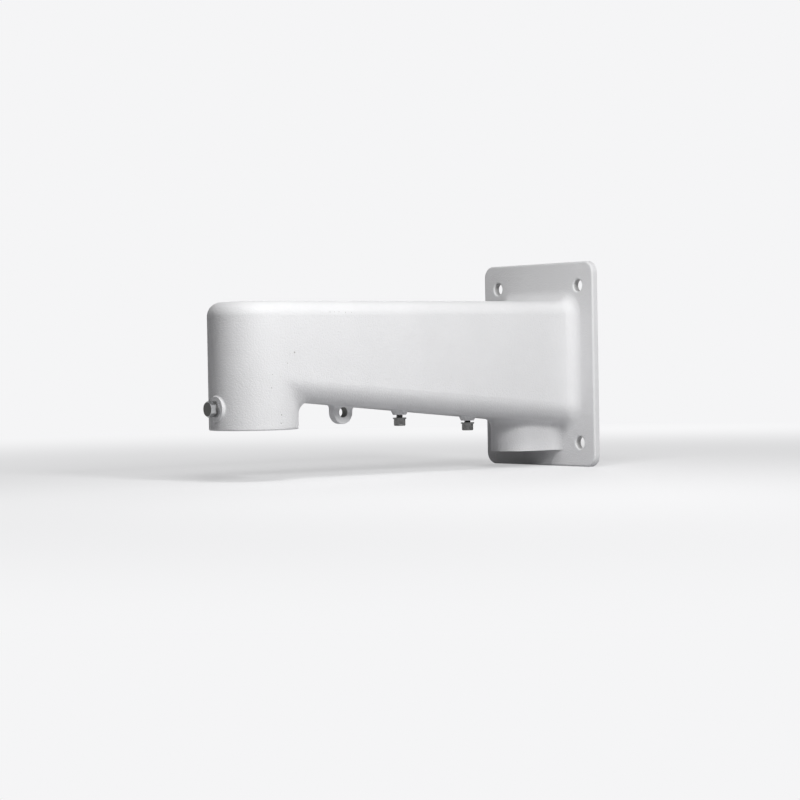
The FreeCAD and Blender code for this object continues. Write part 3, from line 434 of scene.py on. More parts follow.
def powder_coat(pits, neck):
    """Powder-coated cast aluminium: even and satin, with orange peel, a few pits darkened by painted
    shade, and painted shade on the walls of small holes.
    """
    material, tree = new_material("powder_coated_aluminium")
    place = add_node(tree, "ShaderNodeTexCoord").outputs["Object"]

    # How deep each point lies in a pit, from 0 outside to 1 on its floor
    in_pit = 0.0
    for name, spot, radius in pits:
        away = add_node(
            tree, "ShaderNodeVectorMath", {"operation": "DISTANCE"}, {0: place, 1: spot}
        )
        inside = add_node(
            tree,
            "ShaderNodeMapRange",
            {"label": name, "interpolation_type": "SMOOTHSTEP"},
            {
                "Value": away.outputs["Value"],
                "From Min": radius,
                "From Max": radius * PIT_FLOOR_SHARE,
            },
        )
        deepest = add_node(
            tree, "ShaderNodeMath", {"operation": "MAXIMUM"}, {0: in_pit, 1: inside.outputs["Result"]}
        )
        in_pit = deepest.outputs["Value"]

    shade = add_node(
        tree,
        "ShaderNodeTexNoise",
        None,
        {"Vector": place, "Scale": 1 / SHADE_WIDTH, "Detail": SHADE_DETAIL},
    )
    film = add_node(
        tree,
        "ShaderNodeMix",
        {"data_type": "RGBA"},
        {
            "Factor": shade.outputs["Fac"],
            "A": linear(COAT_COLOUR),
            "B": linear(COAT_SHADE_COLOUR),
        },
    )
    # Painted shade darkens each pit
    colour = add_node(
        tree,
        "ShaderNodeMix",
        {"data_type": "RGBA"},
        {"Factor": in_pit, "A": film.outputs["Result"], "B": linear(PIT_SHADE_COLOUR)},
    )
    folded = add_node(tree, "ShaderNodeVectorMath", {"operation": "ABSOLUTE"}, {0: place})
    eye_wall_shade = hole_wall_shade(tree, place, (0.0, 1.0, 1.0), EYE_MIDDLE, EYE_RADIUS, EYE_SHADE_SHARE)
    bolt_wall_shade = hole_wall_shade(
        tree,
        folded.outputs["Vector"],
        (1.0, 0.0, 1.0),
        BOLT_MIDDLE,
        BOLT_RADIUS,
        BOLT_SHADE_SHARE,
    )
    hole_shade = add_node(tree, "ShaderNodeMath", {"operation": "MAXIMUM"}, {0: eye_wall_shade, 1: bolt_wall_shade})
    # Painted shade on the walls of the rope eye and the bolt holes
    hole_shaded = add_node(
        tree,
        "ShaderNodeMix",
        {"data_type": "RGBA"},
        {
            "Factor": hole_shade.outputs["Value"],
            "A": colour.outputs["Result"],
            "B": linear(HOLE_SHADE_COLOUR),
        },
    )
    # The same smoothing on both sides of the arm
    parts = add_node(tree, "ShaderNodeSeparateXYZ", None, {0: place})
    sideways = add_node(tree, "ShaderNodeMath", {"operation": "ABSOLUTE"}, {0: parts.outputs["X"]})
    either_side = add_node(
        tree,
        "ShaderNodeCombineXYZ",
        None,
        {"X": sideways.outputs["Value"], "Y": parts.outputs["Y"], "Z": parts.outputs["Z"]},
    )
    from_neck = add_node(
        tree,
        "ShaderNodeVectorMath",
        {"operation": "DISTANCE"},
        {0: either_side.outputs["Vector"], 1: neck},
    )
    smoothing = add_node(
        tree,
        "ShaderNodeMapRange",
        {"interpolation_type": "SMOOTHSTEP"},
        {
            "Value": from_neck.outputs["Value"],
            "From Min": NECK_NEAR,
            "From Max": NECK_FAR,
            "To Min": NECK_SMOOTHING,
            "To Max": 0.0,
        },
    )
    rubbed = add_node(
        tree, "ShaderNodeBevel", {"samples": NECK_SAMPLES}, {"Radius": smoothing.outputs["Result"]}
    )
    wave = add_node(tree, "ShaderNodeTexNoise", None, {"Vector": place, "Scale": 1 / WAVE_WIDTH})
    swell = add_node(
        tree,
        "ShaderNodeBump",
        None,
        {
            "Height": wave.outputs["Fac"],
            "Distance": WAVE_DEPTH,
            "Strength": 1.0,
            "Normal": rubbed.outputs["Normal"],
        },
    )
    peel = add_node(
        tree,
        "ShaderNodeTexNoise",
        None,
        {
            "Vector": place,
            "Scale": 1 / PEEL_WIDTH,
            "Detail": PEEL_DETAIL,
            "Roughness": PEEL_EDGE,
        },
    )
    skin = add_node(
        tree,
        "ShaderNodeBump",
        None,
        {
            "Height": peel.outputs["Fac"],
            "Distance": PEEL_DEPTH,
            "Strength": 1.0,
            "Normal": swell.outputs["Normal"],
        },
    )
    dent = add_node(
        tree,
        "ShaderNodeBump",
        {"invert": True},
        {
            "Height": in_pit,
            "Distance": PIT_DEPTH,
            "Strength": 1.0,
            "Normal": skin.outputs["Normal"],
        },
    )
    coat = add_node(
        tree,
        "ShaderNodeBsdfPrincipled",
        None,
        {
            "Base Color": hole_shaded.outputs["Result"],
            "Roughness": COAT_ROUGHNESS,
            "Specular IOR Level": COAT_SPECULAR,
            "Normal": dent.outputs["Normal"],
        },
    )
    add_node(tree, "ShaderNodeOutputMaterial", None, {"Surface": coat.outputs["BSDF"]})
    return material


def finish_node(name, material):
    """Give a construction piece its finish in place of the plain one."""
    slots = nodes[name].material_slots
    if not slots:
        nodes[name].data.materials.append(material)
    for slot in slots:
        slot.material = material


neck_spot = spot_on_casting(*NECK_PIXEL)
finish_node("bracket_casting", powder_coat(pit_spots, neck_spot))
print("powder coat on", casting.name)

# %% [markdown]
# The fasteners are steel, formed cold and plated with zinc that has gone dull outdoors. The plating is
# thin, so tool marks and handling show as uneven gloss. The cap screws are rolled steel with a darker
# skin. Their washers take the same darker steel as painted shade from the arm above them, and the spring
# washer takes it too. The free face of the lock bolt is darkened with a painted dark reflection.

# %% Steels of the fasteners
STEEL_COLOUR = "#C4C5C6"
STEEL_STAIN_COLOUR = "#9A9B9C"
# Darker steel of the cap screws, also used as painted shade on their washers
DARK_STEEL_AND_SHADE_COLOUR = "#868685"
DARK_STAIN_COLOUR = "#565656"
STEEL_ROUGHNESS = (0.26, 0.44)
STAIN_WIDTH = 2.2 * MM
STAIN_DETAIL = 4.0
GRAIN_WIDTH = 0.35 * MM
GRAIN_DEPTH = 0.012 * MM
EDGE_ROUND = 0.12 * MM
# Painted dark reflection on the lock bolt's free face
FACE_REFLECTION_COLOUR = "#4C4C4B"
FACE_REFLECTION_START = 0.05 * MM
FACE_REFLECTION_END = 0.2 * MM


def plated_steel(name, colour, stain_colour, face_y=None):
    """Zinc-plated steel: a soft mirror with duller stains, and a painted dark reflection on a face at y.
    """
    material, tree = new_material(name)
    place = add_node(tree, "ShaderNodeTexCoord").outputs["Object"]
    stain = add_node(
        tree,
        "ShaderNodeTexNoise",
        None,
        {"Vector": place, "Scale": 1 / STAIN_WIDTH, "Detail": STAIN_DETAIL},
    )
    tint = add_node(
        tree,
        "ShaderNodeMix",
        {"data_type": "RGBA"},
        {"Factor": stain.outputs["Fac"], "A": linear(colour), "B": linear(stain_colour)},
    )
    plating = tint.outputs["Result"]
    # A painted dark reflection darkens the face at y
    if face_y is not None:
        parts = add_node(tree, "ShaderNodeSeparateXYZ", None, {0: place})
        reflection_share = add_node(
            tree,
            "ShaderNodeMapRange",
            {"interpolation_type": "SMOOTHSTEP"},
            {
                "Value": parts.outputs["Y"],
                "From Min": face_y + FACE_REFLECTION_START,
                "From Max": face_y + FACE_REFLECTION_END,
                "To Min": 1.0,
                "To Max": 0.0,
            },
        )
        reflected_face = add_node(
            tree,
            "ShaderNodeMix",
            {"data_type": "RGBA"},
            {"Factor": reflection_share.outputs["Result"], "A": plating, "B": linear(FACE_REFLECTION_COLOUR)},
        )
        plating = reflected_face.outputs["Result"]
    gloss = add_node(
        tree,
        "ShaderNodeMapRange",
        None,
        {"Value": stain.outputs["Fac"], "To Min": STEEL_ROUGHNESS[0], "To Max": STEEL_ROUGHNESS[1]},
    )
    grain = add_node(tree, "ShaderNodeTexNoise", None, {"Vector": place, "Scale": 1 / GRAIN_WIDTH})
    soft_edge = add_node(tree, "ShaderNodeBevel", None, {"Radius": EDGE_ROUND})
    skin = add_node(
        tree,
        "ShaderNodeBump",
        None,
        {
            "Height": grain.outputs["Fac"],
            "Distance": GRAIN_DEPTH,
            "Normal": soft_edge.outputs["Normal"],
        },
    )
    metal = add_node(
        tree,
        "ShaderNodeBsdfPrincipled",
        None,
        {
            "Base Color": plating,
            "Metallic": 1.0,
            "Roughness": gloss.outputs["Result"],
            "Normal": skin.outputs["Normal"],
        },
    )
    add_node(tree, "ShaderNodeOutputMaterial", None, {"Surface": metal.outputs["BSDF"]})
    return material


zinc_steel = plated_steel("zinc_plated_steel", STEEL_COLOUR, STEEL_STAIN_COLOUR)
dark_steel_and_shade = plated_steel("dark_rolled_steel_and_shade", DARK_STEEL_AND_SHADE_COLOUR, DARK_STAIN_COLOUR)
# The lock bolt's free face gets a painted dark reflection
lock_steel = plated_steel(
    "zinc_plated_steel_painted_reflection", STEEL_COLOUR, STEEL_STAIN_COLOUR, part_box("lock_bolt")[0].y
)
finish_node("lock_bolt_flat_washer", zinc_steel)
# The cap screw washers take the darker steel as painted shade from the arm above, and the spring washer
# takes it too
for name in ("cap_screw_washer_front", "cap_screw_washer_rear", "lock_bolt_spring_washer"):
    finish_node(name, dark_steel_and_shade)
print("steels:", zinc_steel.name, dark_steel_and_shade.name, lock_steel.name)

# %% [markdown]
# Screw threads, the knurl of a cap screw and the threads of both bores all repeat one shape about an
# axis, so Geometry Nodes make them. A tree has named inputs for its sizes, in metres. The modifier is set
# by socket identifier, its result becomes a plain mesh with its place inside it, and the modifier goes
# before the piece rides the frame.

# %% Helpers for Geometry Nodes
TAU = 2 * math.pi
SMOOTH_ANGLE = math.radians(35)


def new_tree(name, sizes):
    """Geometry Nodes tree with an input for each size, and the sockets of those inputs by name."""
    tree = bpy.data.node_groups.new(name, "GeometryNodeTree")
    for size in sizes:
        tree.interface.new_socket(size, in_out="INPUT", socket_type="NodeSocketFloat")
    tree.interface.new_socket("Geometry", in_out="OUTPUT", socket_type="NodeSocketGeometry")
    return tree, add_node(tree, "NodeGroupInput").outputs


def end_tree(tree, geometry, material):
    """Smooth shading, realised instances and the finish, at the end of every tree."""
    smooth = add_node(tree, "GeometryNodeSetShadeSmooth", None, {"Geometry": geometry})
    real = add_node(tree, "GeometryNodeRealizeInstances", None, {"Geometry": smooth.outputs["Geometry"]})
    finish = add_node(
        tree,
        "GeometryNodeSetMaterial",
        None,
        {"Geometry": real.outputs["Geometry"], "Material": material},
    )
    add_node(tree, "NodeGroupOutput", None, {"Geometry": finish.outputs["Geometry"]})


def make_piece(name, tree, sizes, place, smooth_angle=SMOOTH_ANGLE):
    """Plain mesh piece from a tree and its sizes, moved to its place by a matrix."""
    host = bpy.data.objects.new(name, bpy.data.meshes.new(name + "_host"))
    bpy.context.scene.collection.objects.link(host)
    modifier = host.modifiers.new("shape", "NODES")
    modifier.node_group = tree
    for socket in tree.interface.items_tree:
        if socket.in_out == "INPUT":
            modifier[socket.identifier] = sizes[socket.name]
    graph = bpy.context.evaluated_depsgraph_get()
    mesh = bpy.data.meshes.new_from_object(host.evaluated_get(graph))
    host.modifiers.remove(modifier)
    mesh.name = name
    mesh.transform(place)
    mesh.set_sharp_from_angle(angle=smooth_angle)
    host.data = mesh
    print(name, "faces:", len(mesh.polygons))
    return host


def point_turns(tree):
    """Sockets for a point's angle about Z, in turns, and its height."""
    place = add_node(tree, "GeometryNodeInputPosition")
    parts = add_node(tree, "ShaderNodeSeparateXYZ", None, {0: place.outputs["Position"]})
    angle = add_node(
        tree, "ShaderNodeMath", {"operation": "ARCTAN2"}, {0: parts.outputs["Y"], 1: parts.outputs["X"]}
    )
    turns = add_node(
        tree, "ShaderNodeMath", {"operation": "DIVIDE"}, {0: angle.outputs["Value"], 1: TAU}
    )
    return turns.outputs["Value"], parts.outputs["Z"]


def set_wall(tree, tube, wall, drawn_radius):
    """Move a tube's points so that its wall lies at a radius that may change from point to point."""
    place = add_node(tree, "GeometryNodeInputPosition")
    share = add_node(tree, "ShaderNodeMath", {"operation": "DIVIDE"}, {0: wall, 1: drawn_radius})
    stretch = add_node(
        tree,
        "ShaderNodeCombineXYZ",
        None,
        {"X": share.outputs["Value"], "Y": share.outputs["Value"], "Z": 1.0},
    )
    moved = add_node(
        tree,
        "ShaderNodeVectorMath",
        {"operation": "MULTIPLY"},
        {0: place.outputs["Position"], 1: stretch.outputs["Vector"]},
    )
    result = add_node(
        tree, "GeometryNodeSetPosition", None, {"Geometry": tube, "Position": moved.outputs["Vector"]}
    )
    return result.outputs["Geometry"]


# %% [markdown]
# A rolled thread is a V-shaped groove along a helix. A finely divided rod is drawn first, and each of its
# points moves inward by a zigzag of its height less its turn about the axis, so the groove climbs one
# pitch for each turn. A limit on the radius near the tip leaves the chamfer that helps a screw to start.

# %% Thread of a screw
SHANK_POINTS = 44
ROWS_PER_PITCH = 9
THREAD_DEPTH_SHARE = 0.6
CREST_SHARE = 0.06
ROOT_SHARE = 0.42
SHANK_SINK = 0.6 * MM


def threaded_shank(tree, sizes):
    """Threaded rod that stands on z = 0 and starts a little below it."""
    pitches = add_node(
        tree, "ShaderNodeMath", {"operation": "DIVIDE"}, {0: sizes["Length"], 1: sizes["Pitch"]}
    )
    rows = add_node(
        tree,
        "ShaderNodeMath",
        {"operation": "MULTIPLY"},
        {0: pitches.outputs["Value"], 1: ROWS_PER_PITCH},
    )
    drawn = add_node(
        tree, "ShaderNodeMath", {"operation": "ADD"}, {0: sizes["Length"], 1: SHANK_SINK}
    )
    middle = add_node(
        tree,
        "ShaderNodeMath",
        {"operation": "MULTIPLY_ADD"},
        {0: drawn.outputs["Value"], 1: 0.5, 2: -SHANK_SINK},
    )
    rod = add_node(
        tree,
        "GeometryNodeMeshCylinder",
        {"fill_type": "TRIANGLE_FAN"},
        {
            "Vertices": SHANK_POINTS,
            "Side Segments": rows.outputs["Value"],
            "Radius": sizes["Radius"],
            "Depth": drawn.outputs["Value"],
        },
    )
    lift = add_node(tree, "ShaderNodeCombineXYZ", None, {"Z": middle.outputs["Value"]})
    stood = add_node(
        tree,
        "GeometryNodeTransform",
        None,
        {"Geometry": rod.outputs["Mesh"], "Translation": lift.outputs["Vector"]},
    )
    turns, height = point_turns(tree)
    climbs = add_node(
        tree, "ShaderNodeMath", {"operation": "DIVIDE"}, {0: height, 1: sizes["Pitch"]}
    )
    phase = add_node(
        tree, "ShaderNodeMath", {"operation": "SUBTRACT"}, {0: climbs.outputs["Value"], 1: turns}
    )
    zigzag = add_node(
        tree, "ShaderNodeMath", {"operation": "PINGPONG"}, {0: phase.outputs["Value"], 1: 0.5}
    )
    deepest = add_node(
        tree,
        "ShaderNodeMath",
        {"operation": "MULTIPLY"},
        {0: sizes["Pitch"], 1: THREAD_DEPTH_SHARE},
    )
    groove = add_node(
        tree,
        "ShaderNodeMapRange",
        None,
        {
            "Value": zigzag.outputs["Value"],
            "From Min": CREST_SHARE,
            "From Max": ROOT_SHARE,
            "To Min": 0.0,
            "To Max": deepest.outputs["Value"],
        },
    )
    cut = add_node(
        tree,
        "ShaderNodeMath",
        {"operation": "SUBTRACT"},
        {0: sizes["Radius"], 1: groove.outputs["Result"]},
    )
    to_tip = add_node(
        tree, "ShaderNodeMath", {"operation": "SUBTRACT"}, {0: sizes["Length"], 1: height}
    )
    limit = add_node(
        tree,
        "ShaderNodeMath",
        {"operation": "ADD"},
        {0: to_tip.outputs["Value"], 1: sizes["Tip Radius"]},
    )
    wall = add_node(
        tree,
        "ShaderNodeMath",
        {"operation": "MINIMUM"},
        {0: cut.outputs["Value"], 1: limit.outputs["Value"]},
    )
    return set_wall(tree, stood.outputs["Geometry"], wall.outputs["Value"], sizes["Radius"])


# %% [markdown]
# A socket cap screw has a straight knurl round its head, for fingers, and a hexagon socket. The head is a
# tube whose wall waves in and out by a zigzag of the turn. Near the free face the wall follows a quarter
# circle, and plain bands stay at both ends of the knurl. The socket is cut with a six-sided prism.

# %% Cap screws
CAP_SIZES = {
    "Radius": 2.5 * MM,
    "Length": 12.0 * MM,
    "Pitch": 0.8 * MM,
    "Tip Radius": 1.9 * MM,
    "Head Radius": 4.25 * MM,
    "Head Height": 5.0 * MM,
    "Head Round": 0.7 * MM,
    "Knurl Depth": 0.22 * MM,
    "Plain Band": 0.9 * MM,
    "Socket Width": 4.0 * MM,
    "Socket Depth": 2.5 * MM,
}
KNURL_RIDGES = 32
POINTS_PER_RIDGE = 6
HEAD_ROWS = 34
BAND_FADE = 1.5


def knurled_head(tree, sizes):
    """Knurled head below z = 0, its free face down, with a hexagon socket."""
    tube = add_node(
        tree,
        "GeometryNodeMeshCylinder",
        {"fill_type": "TRIANGLE_FAN"},
        {
            "Vertices": KNURL_RIDGES * POINTS_PER_RIDGE,
            "Side Segments": HEAD_ROWS,
            "Radius": sizes["Head Radius"],
            "Depth": sizes["Head Height"],
        },
    )
    half = add_node(
        tree, "ShaderNodeMath", {"operation": "MULTIPLY"}, {0: sizes["Head Height"], 1: 0.5}
    )
    turns, height = point_turns(tree)
    from_free = add_node(
        tree, "ShaderNodeMath", {"operation": "ADD"}, {0: height, 1: half.outputs["Value"]}
    )
    from_seat = add_node(
        tree, "ShaderNodeMath", {"operation": "SUBTRACT"}, {0: half.outputs["Value"], 1: height}
    )
    from_end = add_node(
        tree,
        "ShaderNodeMath",
        {"operation": "MINIMUM"},
        {0: from_free.outputs["Value"], 1: from_seat.outputs["Value"]},
    )
    band_end = add_node(
        tree, "ShaderNodeMath", {"operation": "MULTIPLY"}, {0: sizes["Plain Band"], 1: BAND_FADE}
    )
    depth = add_node(
        tree,
        "ShaderNodeMapRange",
        None,
        {
            "Value": from_end.outputs["Value"],
            "From Min": sizes["Plain Band"],
            "From Max": band_end.outputs["Value"],
            "To Min": 0.0,
            "To Max": sizes["Knurl Depth"],
        },
    )
    ridges = add_node(
        tree, "ShaderNodeMath", {"operation": "MULTIPLY"}, {0: turns, 1: KNURL_RIDGES}
    )
    zigzag = add_node(
        tree, "ShaderNodeMath", {"operation": "PINGPONG"}, {0: ridges.outputs["Value"], 1: 0.5}
    )
    inward = add_node(
        tree,
        "ShaderNodeMath",
        {"operation": "MULTIPLY"},
        {0: zigzag.outputs["Value"], 1: depth.outputs["Result"]},
    )
    full = add_node(
        tree, "ShaderNodeMath", {"operation": "MULTIPLY"}, {0: inward.outputs["Value"], 1: 2.0}
    )

    # Quarter circle at the free edge: what is missing is round less the square root of what is left
    in_round = add_node(
        tree,
        "ShaderNodeMath",
        {"operation": "SUBTRACT"},
        {0: sizes["Head Round"], 1: from_free.outputs["Value"]},
    )
    above = add_node(
        tree, "ShaderNodeMath", {"operation": "MAXIMUM"}, {0: in_round.outputs["Value"], 1: 0.0}
    )
    above_squared = add_node(
        tree, "ShaderNodeMath", {"operation": "POWER"}, {0: above.outputs["Value"], 1: 2.0}
    )
    round_squared = add_node(
        tree, "ShaderNodeMath", {"operation": "POWER"}, {0: sizes["Head Round"], 1: 2.0}
    )
    left = add_node(
        tree,
        "ShaderNodeMath",
        {"operation": "SUBTRACT"},
        {0: round_squared.outputs["Value"], 1: above_squared.outputs["Value"]},
    )
    leg = add_node(tree, "ShaderNodeMath", {"operation": "SQRT"}, {0: left.outputs["Value"]})
    missing = add_node(
        tree,
        "ShaderNodeMath",
        {"operation": "SUBTRACT"},
        {0: sizes["Head Round"], 1: leg.outputs["Value"]},
    )
    lost = add_node(
        tree,
        "ShaderNodeMath",
        {"operation": "ADD"},
        {0: missing.outputs["Value"], 1: full.outputs["Value"]},
    )
    wall = add_node(
        tree,
        "ShaderNodeMath",
        {"operation": "SUBTRACT"},
        {0: sizes["Head Radius"], 1: lost.outputs["Value"]},
    )
    head = set_wall(tree, tube.outputs["Mesh"], wall.outputs["Value"], sizes["Head Radius"])
    down = add_node(
        tree, "ShaderNodeMath", {"operation": "MULTIPLY"}, {0: half.outputs["Value"], 1: -1.0}
    )
    hung = add_node(tree, "ShaderNodeCombineXYZ", None, {"Z": down.outputs["Value"]})
    lowered = add_node(
        tree,
        "GeometryNodeTransform",
        None,
        {"Geometry": head, "Translation": hung.outputs["Vector"]},
    )

    # Hexagon socket
    corner = add_node(
        tree, "ShaderNodeMath", {"operation": "DIVIDE"}, {0: sizes["Socket Width"], 1: math.sqrt(3)}
    )
    twice = add_node(
        tree, "ShaderNodeMath", {"operation": "MULTIPLY"}, {0: sizes["Socket Depth"], 1: 2.0}
    )
    prism = add_node(
        tree,
        "GeometryNodeMeshCylinder",
        None,
        {"Vertices": 6, "Radius": corner.outputs["Value"], "Depth": twice.outputs["Value"]},
    )
    free_face = add_node(
        tree, "ShaderNodeMath", {"operation": "MULTIPLY"}, {0: sizes["Head Height"], 1: -1.0}
    )
    at_face = add_node(tree, "ShaderNodeCombineXYZ", None, {"Z": free_face.outputs["Value"]})
    key = add_node(
        tree,
        "GeometryNodeTransform",
        None,
        {"Geometry": prism.outputs["Mesh"], "Translation": at_face.outputs["Vector"]},
    )
    cut = add_node(
        tree,
        "GeometryNodeMeshBoolean",
        {"operation": "DIFFERENCE", "solver": "EXACT"},
        {"Mesh 1": lowered.outputs["Geometry"], "Mesh 2": key.outputs["Geometry"]},
    )
    return cut.outputs["Mesh"]


def join_solids(tree, first, second):
    """One closed solid from two that overlap."""
    joined = add_node(tree, "GeometryNodeMeshBoolean", {"operation": "UNION", "solver": "EXACT"})
    tree.links.new(first, joined.inputs["Mesh 2"])
    tree.links.new(second, joined.inputs["Mesh 2"])
    return joined.outputs["Mesh"]


cap_tree, cap_inputs = new_tree("socket_cap_screw", CAP_SIZES)
cap_screw = join_solids(
    cap_tree, knurled_head(cap_tree, cap_inputs), threaded_shank(cap_tree, cap_inputs)
)
end_tree(cap_tree, cap_screw, dark_steel_and_shade)
for end in ("front", "rear"):
    low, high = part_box("cap_screw_" + end)
    middle = (low + high) / 2
    seat = Matrix.Translation((middle.x, middle.y, high.z - CAP_SIZES["Length"]))
    screw = make_piece("threaded_cap_screw_" + end, cap_tree, CAP_SIZES, seat)
    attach(screw, "root")
    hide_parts("cap_screw_" + end)

# %% [markdown]
# The lock bolt stops the camera from turning once it is screwed in. Its hexagon head has its corners
# turned off toward the free face, which leaves the familiar arcs on the flats: the six-sided prism is
# intersected with a cone that opens toward the seat.

# %% Lock bolt
LOCK_SIZES = {
    "Radius": 3.0 * MM,
    "Length": 10.0 * MM,
    "Pitch": 1.0 * MM,
    "Tip Radius": 2.4 * MM,
    "Hex Width": 10.0 * MM,
    "Hex Height": 4.0 * MM,
    "Face Radius": 4.75 * MM,
}
CROWN_SLOPE = math.tan(math.radians(30))
CONE_POINTS = 72
HEXAGON_TURN = Matrix.Rotation(math.radians(90), 4, "Z")
TOWARD_WALL = Matrix.Rotation(math.radians(-90), 4, "X")
CROWN_SMOOTH_ANGLE = math.radians(20)


def hexagon_head(tree, sizes):
    """Hexagon head below z = 0 with a crowned free face."""
    half = add_node(
        tree, "ShaderNodeMath", {"operation": "MULTIPLY"}, {0: sizes["Hex Height"], 1: -0.5}
    )
    down = add_node(tree, "ShaderNodeCombineXYZ", None, {"Z": half.outputs["Value"]})
    corner = add_node(
        tree, "ShaderNodeMath", {"operation": "DIVIDE"}, {0: sizes["Hex Width"], 1: math.sqrt(3)}
    )
    prism = add_node(
        tree,
        "GeometryNodeMeshCylinder",
        None,
        {"Vertices": 6, "Radius": corner.outputs["Value"], "Depth": sizes["Hex Height"]},
    )
    hung = add_node(
        tree,
        "GeometryNodeTransform",
        None,
        {"Geometry": prism.outputs["Mesh"], "Translation": down.outputs["Vector"]},
    )
    opening = add_node(
        tree,
        "ShaderNodeMath",
        {"operation": "DIVIDE"},
        {0: sizes["Hex Height"], 1: CROWN_SLOPE},
    )
    seat_radius = add_node(
        tree,
        "ShaderNodeMath",
        {"operation": "ADD"},
        {0: sizes["Face Radius"], 1: opening.outputs["Value"]},
    )
    cone = add_node(
        tree,
        "GeometryNodeMeshCone",
        None,
        {
            "Vertices": CONE_POINTS,
            "Radius Top": seat_radius.outputs["Value"],
            "Radius Bottom": sizes["Face Radius"],
            "Depth": sizes["Hex Height"],
        },
    )
    drop = add_node(
        tree, "ShaderNodeMath", {"operation": "MULTIPLY"}, {0: sizes["Hex Height"], 1: -1.0}
    )
    below = add_node(tree, "ShaderNodeCombineXYZ", None, {"Z": drop.outputs["Value"]})
    crown = add_node(
        tree,
        "GeometryNodeTransform",
        None,
        {"Geometry": cone.outputs["Mesh"], "Translation": below.outputs["Vector"]},
    )
    turned = add_node(tree, "GeometryNodeMeshBoolean", {"operation": "INTERSECT", "solver": "EXACT"})
    tree.links.new(hung.outputs["Geometry"], turned.inputs["Mesh 2"])
    tree.links.new(crown.outputs["Geometry"], turned.inputs["Mesh 2"])
    return turned.outputs["Mesh"]


lock_tree, lock_inputs = new_tree("hexagon_lock_bolt", LOCK_SIZES)
lock_solid = join_solids(
    lock_tree, hexagon_head(lock_tree, lock_inputs), threaded_shank(lock_tree, lock_inputs)
)
end_tree(lock_tree, lock_solid, lock_steel)
low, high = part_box("lock_bolt")
middle = (low + high) / 2
seat = Matrix.Translation((middle.x, high.y - LOCK_SIZES["Length"], middle.z))
bolt = make_piece(
    "threaded_lock_bolt",
    lock_tree,
    LOCK_SIZES,
    seat @ TOWARD_WALL @ HEXAGON_TURN,
    CROWN_SMOOTH_ANGLE,
)
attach(bolt, "root")
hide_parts("lock_bolt")

# %% [markdown]
# The camera's pipe and the cable gland screw into tapped bores. The bores of the construction model are
# as wide as the roots of their pipe threads, so the crests are added here: one bare ridge in each bore,
# swept along a helix that climbs one pitch for each turn. Its section is a V with a blunt crest, its foot
# stands a little inside the wall, and it grows from nothing at both ends, as a tapped thread fades out.

# %% Thread of a bore
PIPE_THREAD = {
    "Root Radius": 23.9 * MM,
    "Pitch": 2.309 * MM,
    "Depth": 1.48 * MM,
    "Length": 25.0 * MM,
}
GLAND_THREAD = {
    "Root Radius": 13.22 * MM,
    "Pitch": 1.814 * MM,
    "Depth": 1.16 * MM,
    "Length": 25.0 * MM,
}
RIDGE_SINK = 0.15 * MM
RIDGE_POINTS_PER_TURN = 96
FOOT_SHARE = 1.02
BLUNT_SHARE = 0.12
FADE_SHARE = 0.04
LEAST_SHARE = 0.02
SECTION_TURN = (0.0, 0.0, math.radians(-90))


